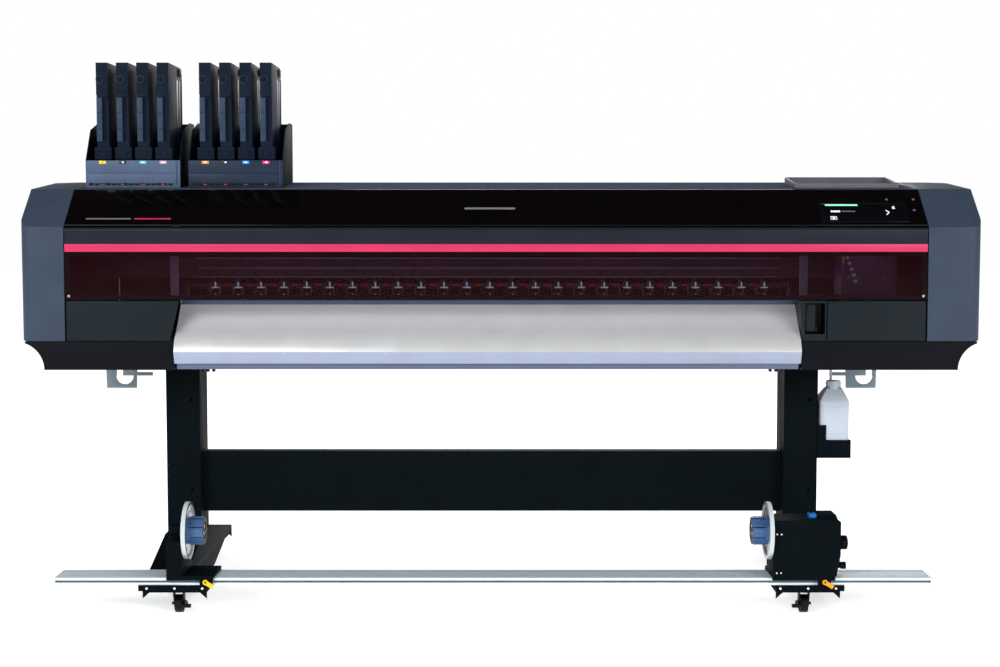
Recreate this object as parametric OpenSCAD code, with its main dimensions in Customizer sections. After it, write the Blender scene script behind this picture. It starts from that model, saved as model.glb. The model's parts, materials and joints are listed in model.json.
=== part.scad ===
// Wide-format roll printer on a caster stand, with a roll take-up rail in front.
// Units are millimetres. +X is to the user's right, -Y faces the user and +Z is up.
// The origin is on the floor, under the middle of the body and of the feet.

/* [Overall] */
// Width over both side covers
body_w = 2720; // [2270:10:3270]
// Depth of the printer body, front face to back face
body_d = 660; // [550:10:800]
// Height of the body's underside above the floor
under_h = 676; // [560:1:815]
// Length of each foot, front to back
foot_len = 880; // [840:10:1060]
// How far the middle of the body sits behind the middle of the feet
body_shift = 40; // [0:5:80]
// How far the middle of the stand sits to the right of the body's middle (negative is left)
stand_shift = -27; // [-60:1:20]

/* [Heights in the body] */
// Height of the lower covers
lower_h = 82; // [60:1:100]
// Height of the two front doors
door_h = 116; // [100:1:140]
// Height of the window in the front cover
window_h = 137; // [115:1:165]
// Height of the coloured stripe above the window
stripe_h = 22; // [12:1:28]
// Height of the plain band above the stripe
band_h = 48; // [40:1:60]
// Rise of the sloping control panel
slope_rise = 109; // [90:1:130]
// Run of the sloping control panel, front to back
slope_run = 128; // [107:1:154]
// Rise of the top cover from the sloping panel to the ridge
ridge_rise = 23; // [10:1:30]
// Rise of the top cover from the ridge to the back
rear_rise = 9; // [2:1:15]

/* [Covers] */
// Width of the left side cover
side_l_w = 125; // [105:1:150]
// Width of the right side cover
side_r_w = 153; // [130:1:180]
// Wall of the moulded covers
wall = 4; // [3:0.5:5]
// Radius of the upright corners of the side covers
corner_r = 30; // [20:1:40]
// Radius of the scooped lower corners
scoop_r = 80; // [60:1:95]
// Width of the left door along its bottom edge
door_l_w = 293; // [260:1:330]
// Width of the right door
door_r_w = 280; // [250:1:310]
// How far the left door's free edge leans inward at its top
door_lean = 27; // [0:1:35]
// Thickness of the doors
door_t = 10; // [8:0.5:14]
// Gap between neighbouring covers
gap = 3; // [2:0.5:4]

/* [Print path] */
// Distance from the left end of the window opening to the media path
media_l_off = 309; // [300:1:340]
// Distance from the media path to the right end of the window opening
media_r_off = 357; // [345:1:390]
// Distance between neighbouring pinch rollers
pinch_pitch = 67.6; // [56:0.1:82]
// Radius of the grit roller
grit_r = 11; // [9:0.1:13]
// Radius of the pinch rollers
pinch_r = 9; // [8:0.1:10.5]
// Length of one pinch roller
pinch_len = 22; // [16:1:26]
// Height of the carriage beam
beam_h = 62; // [50:1:72]
// Depth of the carriage beam
beam_d = 60; // [45:1:75]
// Width of the carriage
carriage_w = 160; // [130:1:190]
// Depth of the carriage
carriage_d = 104; // [90:1:106]
// Height of the carriage cover
carriage_h = 150; // [120:1:160]

/* [Ink supply] */
// Distance between neighbouring packs
pack_pitch = 59; // [54:1:66]
// Width of a pack
pack_w = 34; // [28:1:38]
// Depth of a pack
pack_d = 200; // [167:1:210]
// Height of a pack
pack_h = 338; // [282:1:400]
// Width of the collar around a pack
collar_w = 48; // [42:1:50]
// Width of an ink bay
bay_w = 276; // [270:1:300]
// Gap between the two ink bays
bay_gap = 24; // [10:1:40]
// Height of the ink bay's front wall
bay_front_h = 73; // [61:1:88]
// Height of the ink bay's side walls
bay_side_h = 190; // [158:1:220]

/* [Controls] */
// Width of the touch screen
screen_w = 253; // [210:1:300]
// Length of the touch screen along the slope
screen_len = 88; // [73:1:100]
// Width of the tool tray
tray_w = 303; // [252:1:340]
// Depth of the tool tray
tray_d = 170; // [142:1:200]

/* [Stand] */
// Width of a leg
leg_w = 100; // [84:1:120]
// Depth of a leg
leg_d = 125; // [104:1:150]
// Wall of the legs
leg_wall = 3; // [2:0.5:4]
// Distance from each end of the body to the middle of a leg
leg_inset = 438; // [420:1:480]
// Height of the cross beam
cross_h = 182; // [150:1:218]
// Depth of the cross beam
cross_d = 45; // [37:1:54]
// Height of the cross beam's lower edge above the floor
cross_z = 224; // [215:1:260]
// Width of a foot
foot_w = 112; // [100:1:130]
// Height of a foot at the leg
foot_h = 164; // [150:1:190]
// Wall of the feet
foot_wall = 4; // [3:0.5:5]
// Overall height of a caster
caster_h = 74; // [70:1:82]
// Radius of a caster wheel
wheel_r = 25; // [21:0.5:27]
// Width of a caster wheel
wheel_w = 22; // [18:0.5:26]

/* [Take-up] */
// Depth of the take-up rail
rail_d = 107; // [98:1:112]
// Height of the take-up rail
rail_h = 20; // [18:1:24]
// Distance from the left end of the body to the rail
rail_l_off = 121; // [100:1:146]
// Distance from the rail to the right end of the body
rail_r_off = 166; // [138:1:195]
// Height of the take-up axis above the floor
core_z = 236; // [225:1:260]
// Radius of the flange discs
disc_r = 80; // [67:1:88]
// Thickness of the flange discs
disc_t = 12; // [10:1:15]
// Radius of the chucks that hold a paper core
chuck_r = 38; // [32:0.5:45]
// Length of a chuck
chuck_len = 40; // [34:1:48]
// Radius of the shafts that carry the flange discs
core_shaft_r = 8; // [6.5:0.1:9.5]

/* [Fits] */
// Radial clearance of a turning fit
run_fit = 0.05; // [0.03:0.01:0.08]
// Clearance of pieces that slide past each other
slide_gap = 0.4; // [0.3:0.1:0.6]

/* [Hidden] */
$fn = 64;
eps = 1;

// Body outline
x_left = -body_w / 2;
x_right = body_w / 2;
y_front = body_shift - body_d / 2;
y_rear = body_shift + body_d / 2;
z_seam = under_h + lower_h;
z_door = z_seam + door_h;
z_stripe = z_door + window_h;
z_band = z_stripe + stripe_h;
z_slope = z_band + band_h;
z_top = z_slope + slope_rise;
z_ridge = z_top + ridge_rise;
z_rear = z_ridge + rear_rise;
y_slope = y_front + slope_run;
y_ridge = y_slope + 252;
slope_angle = atan2(slope_rise, slope_run);
slope_len = norm([slope_rise, slope_run]);
span_l = x_left + side_l_w;
span_r = x_right - side_r_w;
front_line = [[y_front, z_seam], [y_front, z_slope], [y_slope, z_top],
              [y_ridge, z_ridge], [y_rear, z_rear], [y_rear, z_seam]];

// Media path
media_l = span_l + media_l_off;
media_r = span_r - media_r_off;
media_c = (media_l + media_r) / 2;
z_media = z_door - 4;
y_nip = y_front + 220;
z_grit = z_media + 0.5 - grit_r;
z_pinch = z_media + 0.8 + pinch_r;
pinch_n = floor((media_r - media_l - 110) / pinch_pitch) + 1;
pinch_x0 = media_c - (pinch_n - 1) * pinch_pitch / 2;
y_lift = y_nip + 45;
y_rib = y_lift + 75;
platen_t = 6;
z_lift = z_media + 35;
lift_r = 5;
nip_axle_r = 2.5;

// Carriage and its beam
y_beam = y_front + 250;
z_beam = z_media + 58;
z_guide = z_beam + 24;
y_carriage = y_nip - 25 - carriage_d;
carriage_x = span_r - 147;
head_drop = 12;
head_gap = 3;
cap_gap = 1;

// Chassis
plate_t = 6;
inset = 10;
base_t = 3;
z_base = under_h + 14;
rail_front_y = y_front + 140;
rail_rear_y = y_front + 490;
beam_w = 40;
tube_t = 3;
z_rails = z_seam + 2;
hinge_y = y_front + 9;
hinge_z = z_slope - 10;
hinge_r = 3;
barrel_r = 9;

// Doors and lever
door_pin_r = 2;
z_hinge_pin = 40;
housing_l = media_r + 6;
housing_r = span_r - gap - door_r_w - gap;
lever_x = housing_l + 8;
lever_w = 26;
lever_y = y_front + 14;
lever_z = z_seam + 34;
lever_pin_r = 4;

// Ink bays
packs_per_bay = 4;
pack_margin = 50;
bay_y = y_front + 170;
bay_d = 223;
bay_x = [x_left + 148, x_left + 148 + bay_w + bay_gap];
pack_y = bay_y + 5;
z_pack = top_z(bay_y + bay_d) + 6;
z_bay_front = z_pack - 18 + bay_front_h;

// Controls
screen_x = span_r - 49 - screen_w;
screen_s = 21;
panel_t = 5;
tray_x = x_right - 204 - tray_w;
tray_y = y_front + 145;

// Stand
stand_c = stand_shift;
leg_off = body_w / 2 - leg_inset;
leg_x = [stand_c - leg_off, stand_c + leg_off];
caster_plate_t = 4;
z_caster_plate = caster_h - 3;
caster_in = 45;
caster_y = foot_len / 2 - 60;
stem_r = 6;
axle_r = 4;
trail = 10;

// Rear hooks
hook_back = 45;
hook_h = 115;
hook_r = 28;

// Waste bottle
bottle_drop = 231;
bottle_z = under_h - bottle_drop;
hook_in = [165, 173];

// Take-up
rail_y = -foot_len / 2 + 5;
rail_z = z_caster_plate + 20;
rail_l = x_left + rail_l_off;
rail_r = x_right - rail_r_off;
core_y = rail_y + 45;
unit_z = rail_z + rail_h + slide_gap;
skirt_front = 14;
skirt_rear = 16;
idler_x = leg_x[0] + 24;
idler_w = 45;
motor_x = leg_x[1] - 144;
motor_w = 186;
motor_d = 110;
motor_z = rail_z + rail_h + 163;
switch_x = motor_x + 117;
clamp_x = [idler_x + idler_w + 64, motor_x + 143];
clamp_z = rail_z + rail_h / 2 + 2;

PACKS = [for (b = [0 : 1]) for (i = [0 : 3]) str("ink_pack_", b * 4 + i + 1)];
CORNERS = ["front_left", "front_right", "rear_left", "rear_right"];

// ---- Helpers ----

// Height of the top cover's outer surface at depth y
function top_z(y) =
    y < y_ridge ? z_top + (y - y_slope) / (y_ridge - y_slope) * ridge_rise
                : z_ridge + (y - y_ridge) / (y_rear - y_ridge) * rear_rise;

// Unit normal on the right-hand side of the line from a to b
function side_normal(a, b) = let (d = (b - a) / norm(b - a)) [d[1], -d[0]];

// Mitred normal at point i of an open line
function mitre(pts, i) =
    let (last = len(pts) - 1,
         before = side_normal(pts[max(i - 1, 0)], pts[max(i, 1)]),
         after = side_normal(pts[min(i, last - 1)], pts[min(i + 1, last)]))
    (before + after) / (1 + before * after);

// Line moved to its right by t
function moved(pts, t) = [for (i = [0 : len(pts) - 1]) pts[i] + t * mitre(pts, i)];

// Closed outline of a bent sheet of thickness t on the right of a line
function sheet(pts, t) =
    let (inner = moved(pts, t))
    concat(pts, [for (i = [len(pts) - 1 : -1 : 0]) inner[i]]);

// Block between two opposite corners
module block(x0, x1, y0, y1, z0, z1) {
    translate([min(x0, x1), min(y0, y1), min(z0, z1)])
        cube([abs(x1 - x0), abs(y1 - y0), abs(z1 - z0)]);
}

// Outline in Y and Z, run along X
module run_x(x0, x1, pts) {
    translate([min(x0, x1), 0, 0])
        rotate([90, 0, 90])
            linear_extrude(abs(x1 - x0)) polygon(pts);
}

// Outline in X and Z, run along Y
module run_y(y0, y1, pts) {
    translate([0, max(y0, y1), 0])
        rotate([90, 0, 0])
            linear_extrude(abs(y1 - y0)) polygon(pts);
}

module rod_x(x0, x1, y, z, r) {
    translate([min(x0, x1), y, z])
        rotate([0, 90, 0]) cylinder(h = abs(x1 - x0), r = r);
}

module rod_y(y0, y1, x, z, r) {
    translate([x, min(y0, y1), z])
        rotate([-90, 0, 0]) cylinder(h = abs(y1 - y0), r = r);
}

module rod_z(z0, z1, x, y, r) {
    translate([x, y, z0]) cylinder(h = z1 - z0, r = r);
}

// Places children on the sloping panel: local Y runs up the slope, local Z out of it
module on_slope() {
    translate([0, y_front, z_slope]) rotate([slope_angle, 0, 0]) children();
}

// ---- Stand ----

module leg(x) {
    z0 = foot_h;
    z1 = under_h;
    inner = x < stand_c ? 1 : -1;
    edge = x + inner * leg_w / 2;
    ear = 60;
    color([0.07, 0.10, 0.11]) {
        difference() {
            block(x - leg_w / 2, x + leg_w / 2, -leg_d / 2, leg_d / 2, z0, z1);
            block(x - leg_w / 2 + leg_wall, x + leg_w / 2 - leg_wall,
                  -leg_d / 2 + leg_wall, leg_d / 2 - leg_wall, z0 + leg_wall, z1 - leg_wall);
            for (z = [z0 + 130, z1 - 110])
                rod_y(-leg_d / 2 - eps, -leg_d / 2 + leg_wall + eps, x + leg_w / 4, z, 4);
        }
        // Shelf and gussets on the inner side that carry the body
        block(edge, edge + inner * ear, -leg_d / 2 + 10, leg_d / 2 - 10, z1 - 4, z1);
        for (y = [-leg_d / 2 + 10, leg_d / 2 - 14])
            run_y(y, y + 4, [[edge, z1 - 20], [edge, z1 - 4 + eps], [edge + inner * ear, z1 - 4 + eps],
                             [edge + inner * ear, z1 - 9]]);
    }
}

module cross_beam() {
    x0 = leg_x[0] + leg_w / 2;
    x1 = leg_x[1] - leg_w / 2;
    t = 3;
    color([0.06, 0.09, 0.09])
        difference() {
            block(x0, x1, -cross_d / 2, cross_d / 2, cross_z, cross_z + cross_h);
            block(x0 + t, x1 - t, -cross_d / 2 + t, cross_d / 2 - t,
                  cross_z + t, cross_z + cross_h - t);
        }
}

// Middle of a caster: column 0 or 1 for left or right, row -1 or 1 for front or rear
function caster_x(col, row) = leg_x[col] + (row > 0 ? 0 : col == 0 ? caster_in : -caster_in);

// Side outline of a foot: low under the rail, high at the leg
function foot_line() =
    [[-foot_len / 2, z_caster_plate + caster_plate_t], [-foot_len / 2, rail_z],
     [rail_y + rail_d + 24, rail_z], [rail_y + rail_d + 30, 102],
     [-leg_d / 2 - 12, foot_h], [leg_d / 2 + 12, foot_h],
     [foot_len / 2, 94], [foot_len / 2, z_caster_plate + caster_plate_t],
     [caster_y - 55, z_caster_plate + caster_plate_t], [120, 30], [-120, 30],
     [-caster_y + 55, z_caster_plate + caster_plate_t]];

// Hollow inside a foot
function foot_void() =
    [[rail_y + rail_d + 36, z_caster_plate + 14], [rail_y + rail_d + 40, 97],
     [-leg_d / 2 - 12, foot_h - foot_wall], [leg_d / 2 + 12, foot_h - foot_wall],
     [foot_len / 2 - 8, 89], [foot_len / 2 - 8, z_caster_plate + 10],
     [caster_y - 53, z_caster_plate + 10], [119, 30 + foot_wall + 1], [-119, 30 + foot_wall + 1]];

module foot(col) {
    x = leg_x[col];
    lip_h = 18;
    color([0.07, 0.09, 0.10]) {
        difference() {
            run_x(x - foot_w / 2, x + foot_w / 2, foot_line());
            run_x(x - foot_w / 2 + foot_wall, x + foot_w / 2 - foot_wall, foot_void());
        }
        for (e = [-1, 1]) {
            ye = e * foot_len / 2;
            cx = caster_x(col, e);
            plate_w = e < 0 ? 178 : foot_w;
            difference() {
                union() {
                    block(cx - plate_w / 2, cx + plate_w / 2, ye, ye - e * 112,
                          z_caster_plate, z_caster_plate + caster_plate_t);
                    block(cx - plate_w / 2, cx + plate_w / 2, ye, ye - e * caster_plate_t,
                          z_caster_plate, z_caster_plate + lip_h);
                    for (k = [-1, 1])
                        run_y(ye, ye - e * caster_plate_t,
                              [[cx + k * plate_w / 2, z_caster_plate - 17],
                               [cx + k * plate_w / 2, z_caster_plate + eps],
                               [cx + k * (plate_w / 2 - 20), z_caster_plate + eps]]);
                }
                rod_z(z_caster_plate - eps, z_caster_plate + caster_plate_t + eps,
                      cx, e * caster_y, stem_r + run_fit);
            }
            // Screw heads on the lip
            for (k = [-1, 0, 1])
                rod_y(ye, ye + e * 2, cx + k * (plate_w / 2 - 12), z_caster_plate + 12, 3);
        }
    }
}

module caster_fork(col, row) {
    x = caster_x(col, row);
    y = row * caster_y;
    top = z_caster_plate - 0.4;
    cheek = 3;
    color([0.05, 0.05, 0.06]) {
        rod_z(top - 9, top, x, y, 22);
        rod_z(top - eps, z_caster_plate + caster_plate_t - 0.2, x, y, stem_r);
        for (s = [-1, 1])
            run_x(x + s * (wheel_w / 2 + 1), x + s * (wheel_w / 2 + 1 + cheek),
                  [[y - 14, top - 5], [y + 14, top - 5], [y + trail + 8, wheel_r - 8],
                   [y + trail - 8, wheel_r - 8]]);
        rod_x(x - wheel_w / 2 - 11, x + wheel_w / 2 + 11, y + trail, wheel_r, axle_r);
    }
}

module caster_wheel(col, row) {
    x = caster_x(col, row);
    y = row * caster_y;
    color([0.09, 0.09, 0.10])
        translate([x, y + trail, wheel_r]) rotate([0, 90, 0])
            difference() {
                cylinder(h = wheel_w, r = wheel_r, center = true);
                cylinder(h = wheel_w + 2 * eps, r = axle_r + run_fit, center = true);
                for (s = [-1, 1])
                    translate([0, 0, s * (wheel_w / 2 + 1)])
                        difference() {
                            cylinder(h = 8, r = wheel_r - 5, center = true);
                            cylinder(h = 10, r = axle_r + 3, center = true);
                        }
            }
}

module brake_pedal(col) {
    x = caster_x(col, -1);
    s = col == 0 ? 1 : -1;
    y = -caster_y;
    x0 = x + s * (wheel_w / 2 + 4.5);
    color([0.06, 0.06, 0.07])
        difference() {
            union() {
                rod_x(x0, x0 + s * 5, y + trail, wheel_r, 8);
                run_x(x0, x0 + s * 5, [[y + trail, wheel_r - 6], [y + trail, wheel_r + 6],
                                       [y - 16, wheel_r + 9], [y - 30, wheel_r + 3], [y - 30, wheel_r - 3]]);
                block(x0, x0 + s * 22, y - 34, y - 18, wheel_r - 3, wheel_r + 5);
            }
            rod_x(x0 - s, x0 + s * 6, y + trail, wheel_r, axle_r + run_fit);
        }
}

// ---- Chassis ----

// One end plate that carries the beam and the front cover's hinge pin
module end_plate(x, pin_to) {
    plate_line = concat([[y_front + inset, z_base]], moved(front_line, inset),
                        [[y_rear - inset, z_base]]);
    run_x(x, x + plate_t, plate_line);
    rod_x(x, x + plate_t, hinge_y, hinge_z, 5);
    rod_x(min(x, pin_to), max(x + plate_t, pin_to), hinge_y, hinge_z, hinge_r);
}

module nip_bracket(x) {
    difference() {
        run_x(x, x + 8, [[y_nip - 18, z_base + base_t], [y_nip - 18, z_media + 4], [y_lift - 12, z_lift + 12],
                         [y_lift + 12, z_lift + 12], [y_lift + 60, z_base + base_t]]);
        rod_x(x - eps, x + 8 + eps, y_nip, z_grit, 6 + run_fit);
    }
}

module lever_housing() {
    zb = z_seam + 1;
    zt = z_door - 2;
    difference() {
        run_y(y_front, y_front + 62,
              [[housing_l, zb], [housing_l - 12, zt], [housing_r, zt], [housing_r, zb]]);
        block(housing_l + 5, housing_r - 4, y_front - eps, y_front + 54, z_seam + 20, z_door - 8);
    }
    // Bracket back to the chassis
    block(housing_l + 2, housing_r - 2, y_front + 58, rail_front_y + eps, z_seam - 40, z_rails);
    block(housing_l + 2, housing_r - 2, y_front + 58, y_front + 62, z_seam - 40, z_seam + 20);
    rod_x(housing_l + 3, lever_x + lever_w + 6, lever_y, lever_z, lever_pin_r);
    block(lever_x + lever_w + 2, lever_x + lever_w + 6, lever_y - 7, y_front + 56,
          lever_z - 7, lever_z + 7);
}

module chassis() {
    xl = span_l - 9;
    xr = span_r + 3;
    color([0.30, 0.31, 0.33]) {
        end_plate(xl, span_l + 22);
        end_plate(xr, span_r - 22);
        // Base plate, pads on the legs and two long rails
        block(xl + plate_t, xr, y_front + 130, y_rear - inset, z_base, z_base + base_t);
        for (x = leg_x)
            block(x - leg_w / 2, x + leg_w / 2, -leg_d / 2, leg_d / 2, under_h, z_base);
        for (y = [rail_front_y, rail_rear_y])
            difference() {
                block(xl + plate_t, xr, y, y + beam_w, z_base + base_t, z_rails);
                block(xl + plate_t + 2, xr - 2, y + tube_t, y + beam_w - tube_t,
                      z_base + base_t + tube_t, z_rails - tube_t);
            }
        // Upright posts behind the window, and the tie bar above them
        for (x = [media_l - 22, media_r + 8])
            block(x, x + 21, y_front + 66, y_front + 84, z_door + 6, z_slope - 12);
        block(xl + plate_t, xr, y_front + 64, y_front + 96, z_slope - 13, z_slope + 14);
        // Brackets that hold the grit roller, and the shaft that the pinch arms turn on
        nip_bracket(media_l - 16);
        nip_bracket(media_r + 8);
        rod_x(media_l - 16, media_r + 16, y_lift, z_lift, lift_r);
        // Power supply and control board on the base plate
        block(xl + 300, xl + 560, y_rear - 110, y_rear - 30, z_base + base_t, z_rails);
        block(xl + 700, xl + 1080, y_rear - 116, y_rear - 20, z_base + base_t, z_base + base_t + 6);
    }
    color([0.13, 0.16, 0.19]) lever_housing();
}

// ---- Body covers ----

// Plan of a side cover, moved in by w; it runs from its outer end to its open inner end
module cover_plan(x_out, x_in, w) {
    s = sign(x_in - x_out);
    r = corner_r - w;
    xo = x_out + s * w;
    xc = xo + s * r;
    y0 = y_front + w;
    y1 = y_rear - w;
    translate([min(xc, x_in), y0]) square([abs(x_in - xc), y1 - y0]);
    translate([min(xo, xc), y0 + r]) square([r, y1 - y0 - 2 * r]);
    translate([xc, y0 + r]) circle(r);
    translate([xc, y1 - r]) circle(r);
}

module side_cover(x_out, x_in) {
    s = sign(x_in - x_out);
    void_line = concat([[y_front + wall, z_seam - eps]], moved(front_line, wall),
                       [[y_rear - wall, z_seam - eps]]);
    color([0.21, 0.25, 0.31])
        difference() {
            intersection() {
                run_x(x_out, x_in, front_line);
                translate([0, 0, z_seam - eps])
                    linear_extrude(z_rear - z_seam + 2 * eps) cover_plan(x_out, x_in, 0);
            }
            intersection() {
                run_x(x_out, x_in + s * eps, void_line);
                translate([0, 0, z_seam - 2 * eps])
                    linear_extrude(z_rear - z_seam + 4 * eps) cover_plan(x_out, x_in + s * eps, wall);
            }
        }
}

// Lower cover with a scooped outer corner, open at the top and at its inner end
module lower_cover(x_out, x_in, x_leg, x_pin) {
    s = sign(x_in - x_out);
    xo = x_out + s * 10;
    xs = x_out - s * 16;
    y0 = y_front + 1.5;
    y1 = y_rear - 4.5;
    x_floor = x_leg - s * (leg_w / 2 + 36);
    color([0.07, 0.08, 0.11]) {
        difference() {
            block(xo, x_in, y0, y1, under_h, z_seam - 1);
            rod_y(y0 - eps, y1 + eps, xs, under_h, scoop_r);
            difference() {
                block(xo + s * wall, x_in + s * eps, y0 + wall, y1 - wall, under_h + wall, z_seam);
                rod_y(y0, y1, xs, under_h, scoop_r + wall);
            }
            block(x_floor, x_in + s * eps, y0 + 30, y1 - wall, under_h - eps, under_h + wall + eps);
        }
        // Hinge rod of the door, standing in a boss
        rod_z(z_seam - 15, z_seam + z_hinge_pin, x_pin, y_front + door_t / 2, door_pin_r);
        block(x_pin - 5, x_pin + 5, y0 + wall, y0 + wall + 6, z_seam - 15, z_seam - 1);
        block(x_pin - 5, x_pin + 5, y0, y0 + wall + 6, z_seam - 15, z_seam - 3);
    }
}

module top_cover() {
    line = [[y_slope + 2.4, z_top], [y_ridge, z_ridge], [y_rear, z_rear]];
    y0 = y_slope + 10;
    y1 = y_rear - 4.5;
    flange = [[y0, top_z(y0)], [y_ridge, z_ridge], [y1, top_z(y1)]];
    color([0.36, 0.38, 0.45]) {
        run_x(span_l + 1, span_r - 1, sheet(line, wall));
        for (x = [span_l + 1, span_r - 4])
            run_x(x, x + 3, concat(moved(flange, wall - 0.5), [[y1, z_top - 16], [y0, z_top - 16]]));
    }
}

module rear_cover() {
    z0 = z_base;
    z1 = z_rear - 6;
    z_inlet = z_seam + 20;
    vent_n = 14;
    color([0.12, 0.13, 0.16])
        difference() {
            block(span_l + 1, span_r - 1, y_rear - 4, y_rear, z0, z1);
            // Slot where the media enters
            block(media_l, media_r, y_rear - 4 - eps, y_rear + eps, z_media - 30, z_media + 40);
            // Vents for the electronics
            for (x0 = [span_l + 240, span_r - 500])
                for (i = [0 : vent_n - 1])
                    block(x0 + i * 16, x0 + i * 16 + 7, y_rear - 4 - eps, y_rear + eps,
                          z_seam + 12, z_seam + 72);
            // Power inlet
            block(span_r - 180, span_r - 132, y_rear - 4 - eps, y_rear + eps, z_inlet, z_inlet + 30);
        }
    // Power inlet socket
    color([0.05, 0.05, 0.05])
        difference() {
            block(span_r - 179.5, span_r - 132.5, y_rear - 24, y_rear, z_inlet + 0.5, z_inlet + 29.5);
            block(span_r - 170, span_r - 142, y_rear - 18, y_rear + eps, z_inlet + 6, z_inlet + 24);
        }
}

module top_panel() {
    s0 = 8;
    color([0.04, 0.03, 0.03])
        difference() {
            on_slope()
                block(span_l + 1, span_r - 1, s0, slope_len - 1, -panel_t, 0);
            on_slope()
                block(screen_x - 0.5, screen_x + screen_w + 0.5, screen_s - 0.5, screen_s + screen_len + 0.5,
                      -panel_t - eps, eps);
        }
}

module touch_screen() {
    bezel = 9;
    color([0.02, 0.02, 0.03])
        on_slope()
            difference() {
                block(screen_x, screen_x + screen_w, screen_s, screen_s + screen_len, -14, 1.5);
                block(screen_x + bezel, screen_x + screen_w - bezel, screen_s + bezel,
                      screen_s + screen_len - bezel, 0.8, 1.5 + eps);
            }
}

// ---- Front cover ----

module cover_frame() {
    x0 = span_l + gap;
    x1 = span_r - gap;
    bar_t = 8;
    color([0.14, 0.16, 0.19])
        difference() {
            union() {
                rod_x(x0, x1, hinge_y, hinge_z, barrel_r);
                block(x0, x1, y_front, y_front + bar_t, z_band, hinge_z);
                block(x0, x1, y_front + 4, y_front + 4 + bar_t, z_stripe - 12, z_band + 10);
                for (x = [x0, x1 - 14])
                    block(x, x + 14, y_front + 3, y_front + 3 + bar_t, z_door + 2, z_stripe);
                block(x0, x1, y_front + 3, y_front + 3 + bar_t, z_door + 2, z_door + 14);
            }
            rod_x(x0 - eps, x0 + 20, hinge_y, hinge_z, hinge_r + run_fit);
            rod_x(x1 - 20, x1 + eps, hinge_y, hinge_z, hinge_r + run_fit);
        }
}

module cover_stripe() {
    color([0.90, 0.27, 0.43])
        block(span_l + gap, span_r - gap, y_front - 2, y_front + 4, z_stripe, z_band);
}

module cover_window() {
    color([0.16, 0.02, 0.05, 0.8])
        block(span_l + gap, span_r - gap, y_front, y_front + 3, z_door + 1, z_stripe);
}

// ---- Doors and lever ----

// Door hinged at its outer edge; x_free_low and x_free_high are its free edge, low and high
module door(x_edge, x_free_low, x_free_high) {
    s = sign(x_free_low - x_edge);
    xp = x_edge + s * door_t / 2;
    z0 = z_seam + 1;
    z1 = z_door - 2;
    rib = 10;
    m = 28;
    color([0.13, 0.16, 0.18])
        difference() {
            union() {
                rod_z(z0, z1, xp, y_front + door_t / 2, door_t / 2);
                run_y(y_front, y_front + door_t,
                      [[xp, z0], [x_free_low, z0], [x_free_high, z1], [xp, z1]]);
                difference() {
                    block(x_edge + s * m, x_free_low - s * m, y_front + door_t - eps,
                          y_front + door_t + rib, z0 + 14, z1 - 14);
                    block(x_edge + s * (m + 4), x_free_low - s * (m + 4), y_front + door_t,
                          y_front + door_t + rib + eps, z0 + 18, z1 - 18);
                }
            }
            rod_z(z0 - eps, z_seam + z_hinge_pin + 2, xp, y_front + door_t / 2, door_pin_r + run_fit);
        }
}

module media_lever() {
    x0 = lever_x;
    x1 = lever_x + lever_w;
    color([0.12, 0.13, 0.15])
        difference() {
            union() {
                rod_x(x0, x1, lever_y, lever_z, 9);
                block(x0, x1, lever_y - 9, lever_y - 1, lever_z, z_door - 12);
                block(x0 + 5, x1 - 5, lever_y - 12, lever_y - 8, z_door - 40, z_door - 14);
            }
            rod_x(x0 - eps, x1 + eps, lever_y, lever_z, lever_pin_r + run_fit);
        }
}

// ---- Print path ----

// Front face of the apron, from its lower lip up to the platen
function apron_line() =
    [[y_front, under_h + 18], [y_front - 15, under_h + 53], [y_front, z_seam + 4],
     [y_front + 30, z_seam + 28], [y_front + 59, z_seam + 54], [y_front + 82, z_media - 33],
     [y_front + 101, z_media - 13]];

module apron() {
    t = 2.5;
    cheek = concat(moved(apron_line(), 1), [[rail_front_y, z_media - 24], [rail_front_y, under_h + 18]]);
    color([0.80, 0.80, 0.79]) {
        run_x(media_l, media_r, sheet(apron_line(), t));
        for (x = [media_l, media_r - 2])
            run_x(x, x + 2, cheek);
    }
    color([0.54, 0.58, 0.66])
        run_x(media_l + 6, media_r - 6,
              sheet([[y_front + 5, under_h + 2], [y_front + 5, under_h + 17.5],
                     [y_front + 30, under_h + 17.5]], t));
}

module platen() {
    y0 = y_front + 104;
    y1 = y_nip - grit_r - 3;
    y2 = y_nip + grit_r + 3;
    color([0.34, 0.38, 0.45]) {
        run_x(media_l + 2, media_r - 2,
              [[y0, z_media - 24], [y0, z_media - 2], [y0 + 2, z_media], [y1, z_media],
               [y1, z_media - platen_t], [y0 + 4, z_media - platen_t], [y0 + 4, z_media - 24]]);
        run_x(media_l + 2, media_r - 2,
              [[y2, z_media], [y_rib, z_media], [y_rear - 12, z_media - 14], [y_rear - 12, z_media - 17],
               [y_rib, z_media - platen_t], [y2, z_media - platen_t]]);
    }
}

// Ribs that stand on the two rails and carry the platen
module platen_ribs() {
    rib_n = 9;
    rib_step = (media_r - media_l - 60) / (rib_n - 1);
    color([0.34, 0.38, 0.45])
        for (i = [0 : rib_n - 1])
            translate([media_l + 26 + i * rib_step, 0, 0])
                difference() {
                    block(0, 8, rail_front_y, y_rib, z_rails, z_media - platen_t);
                    rod_x(-eps, 8 + eps, y_nip, z_grit, grit_r + 3);
                    block(-eps, 8 + eps, y_nip - grit_r - 3, y_nip + grit_r + 3, z_grit, z_media);
                }
}

module grit_roller() {
    color([0.62, 0.64, 0.66]) {
        rod_x(media_l - 24, media_r + 24, y_nip, z_grit, 6);
        for (i = [0 : pinch_n - 1])
            translate([pinch_x0 + i * pinch_pitch, 0, 0])
                rod_x(-pinch_len / 2 - 4, pinch_len / 2 + 4, y_nip, z_grit, grit_r);
    }
}

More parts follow.
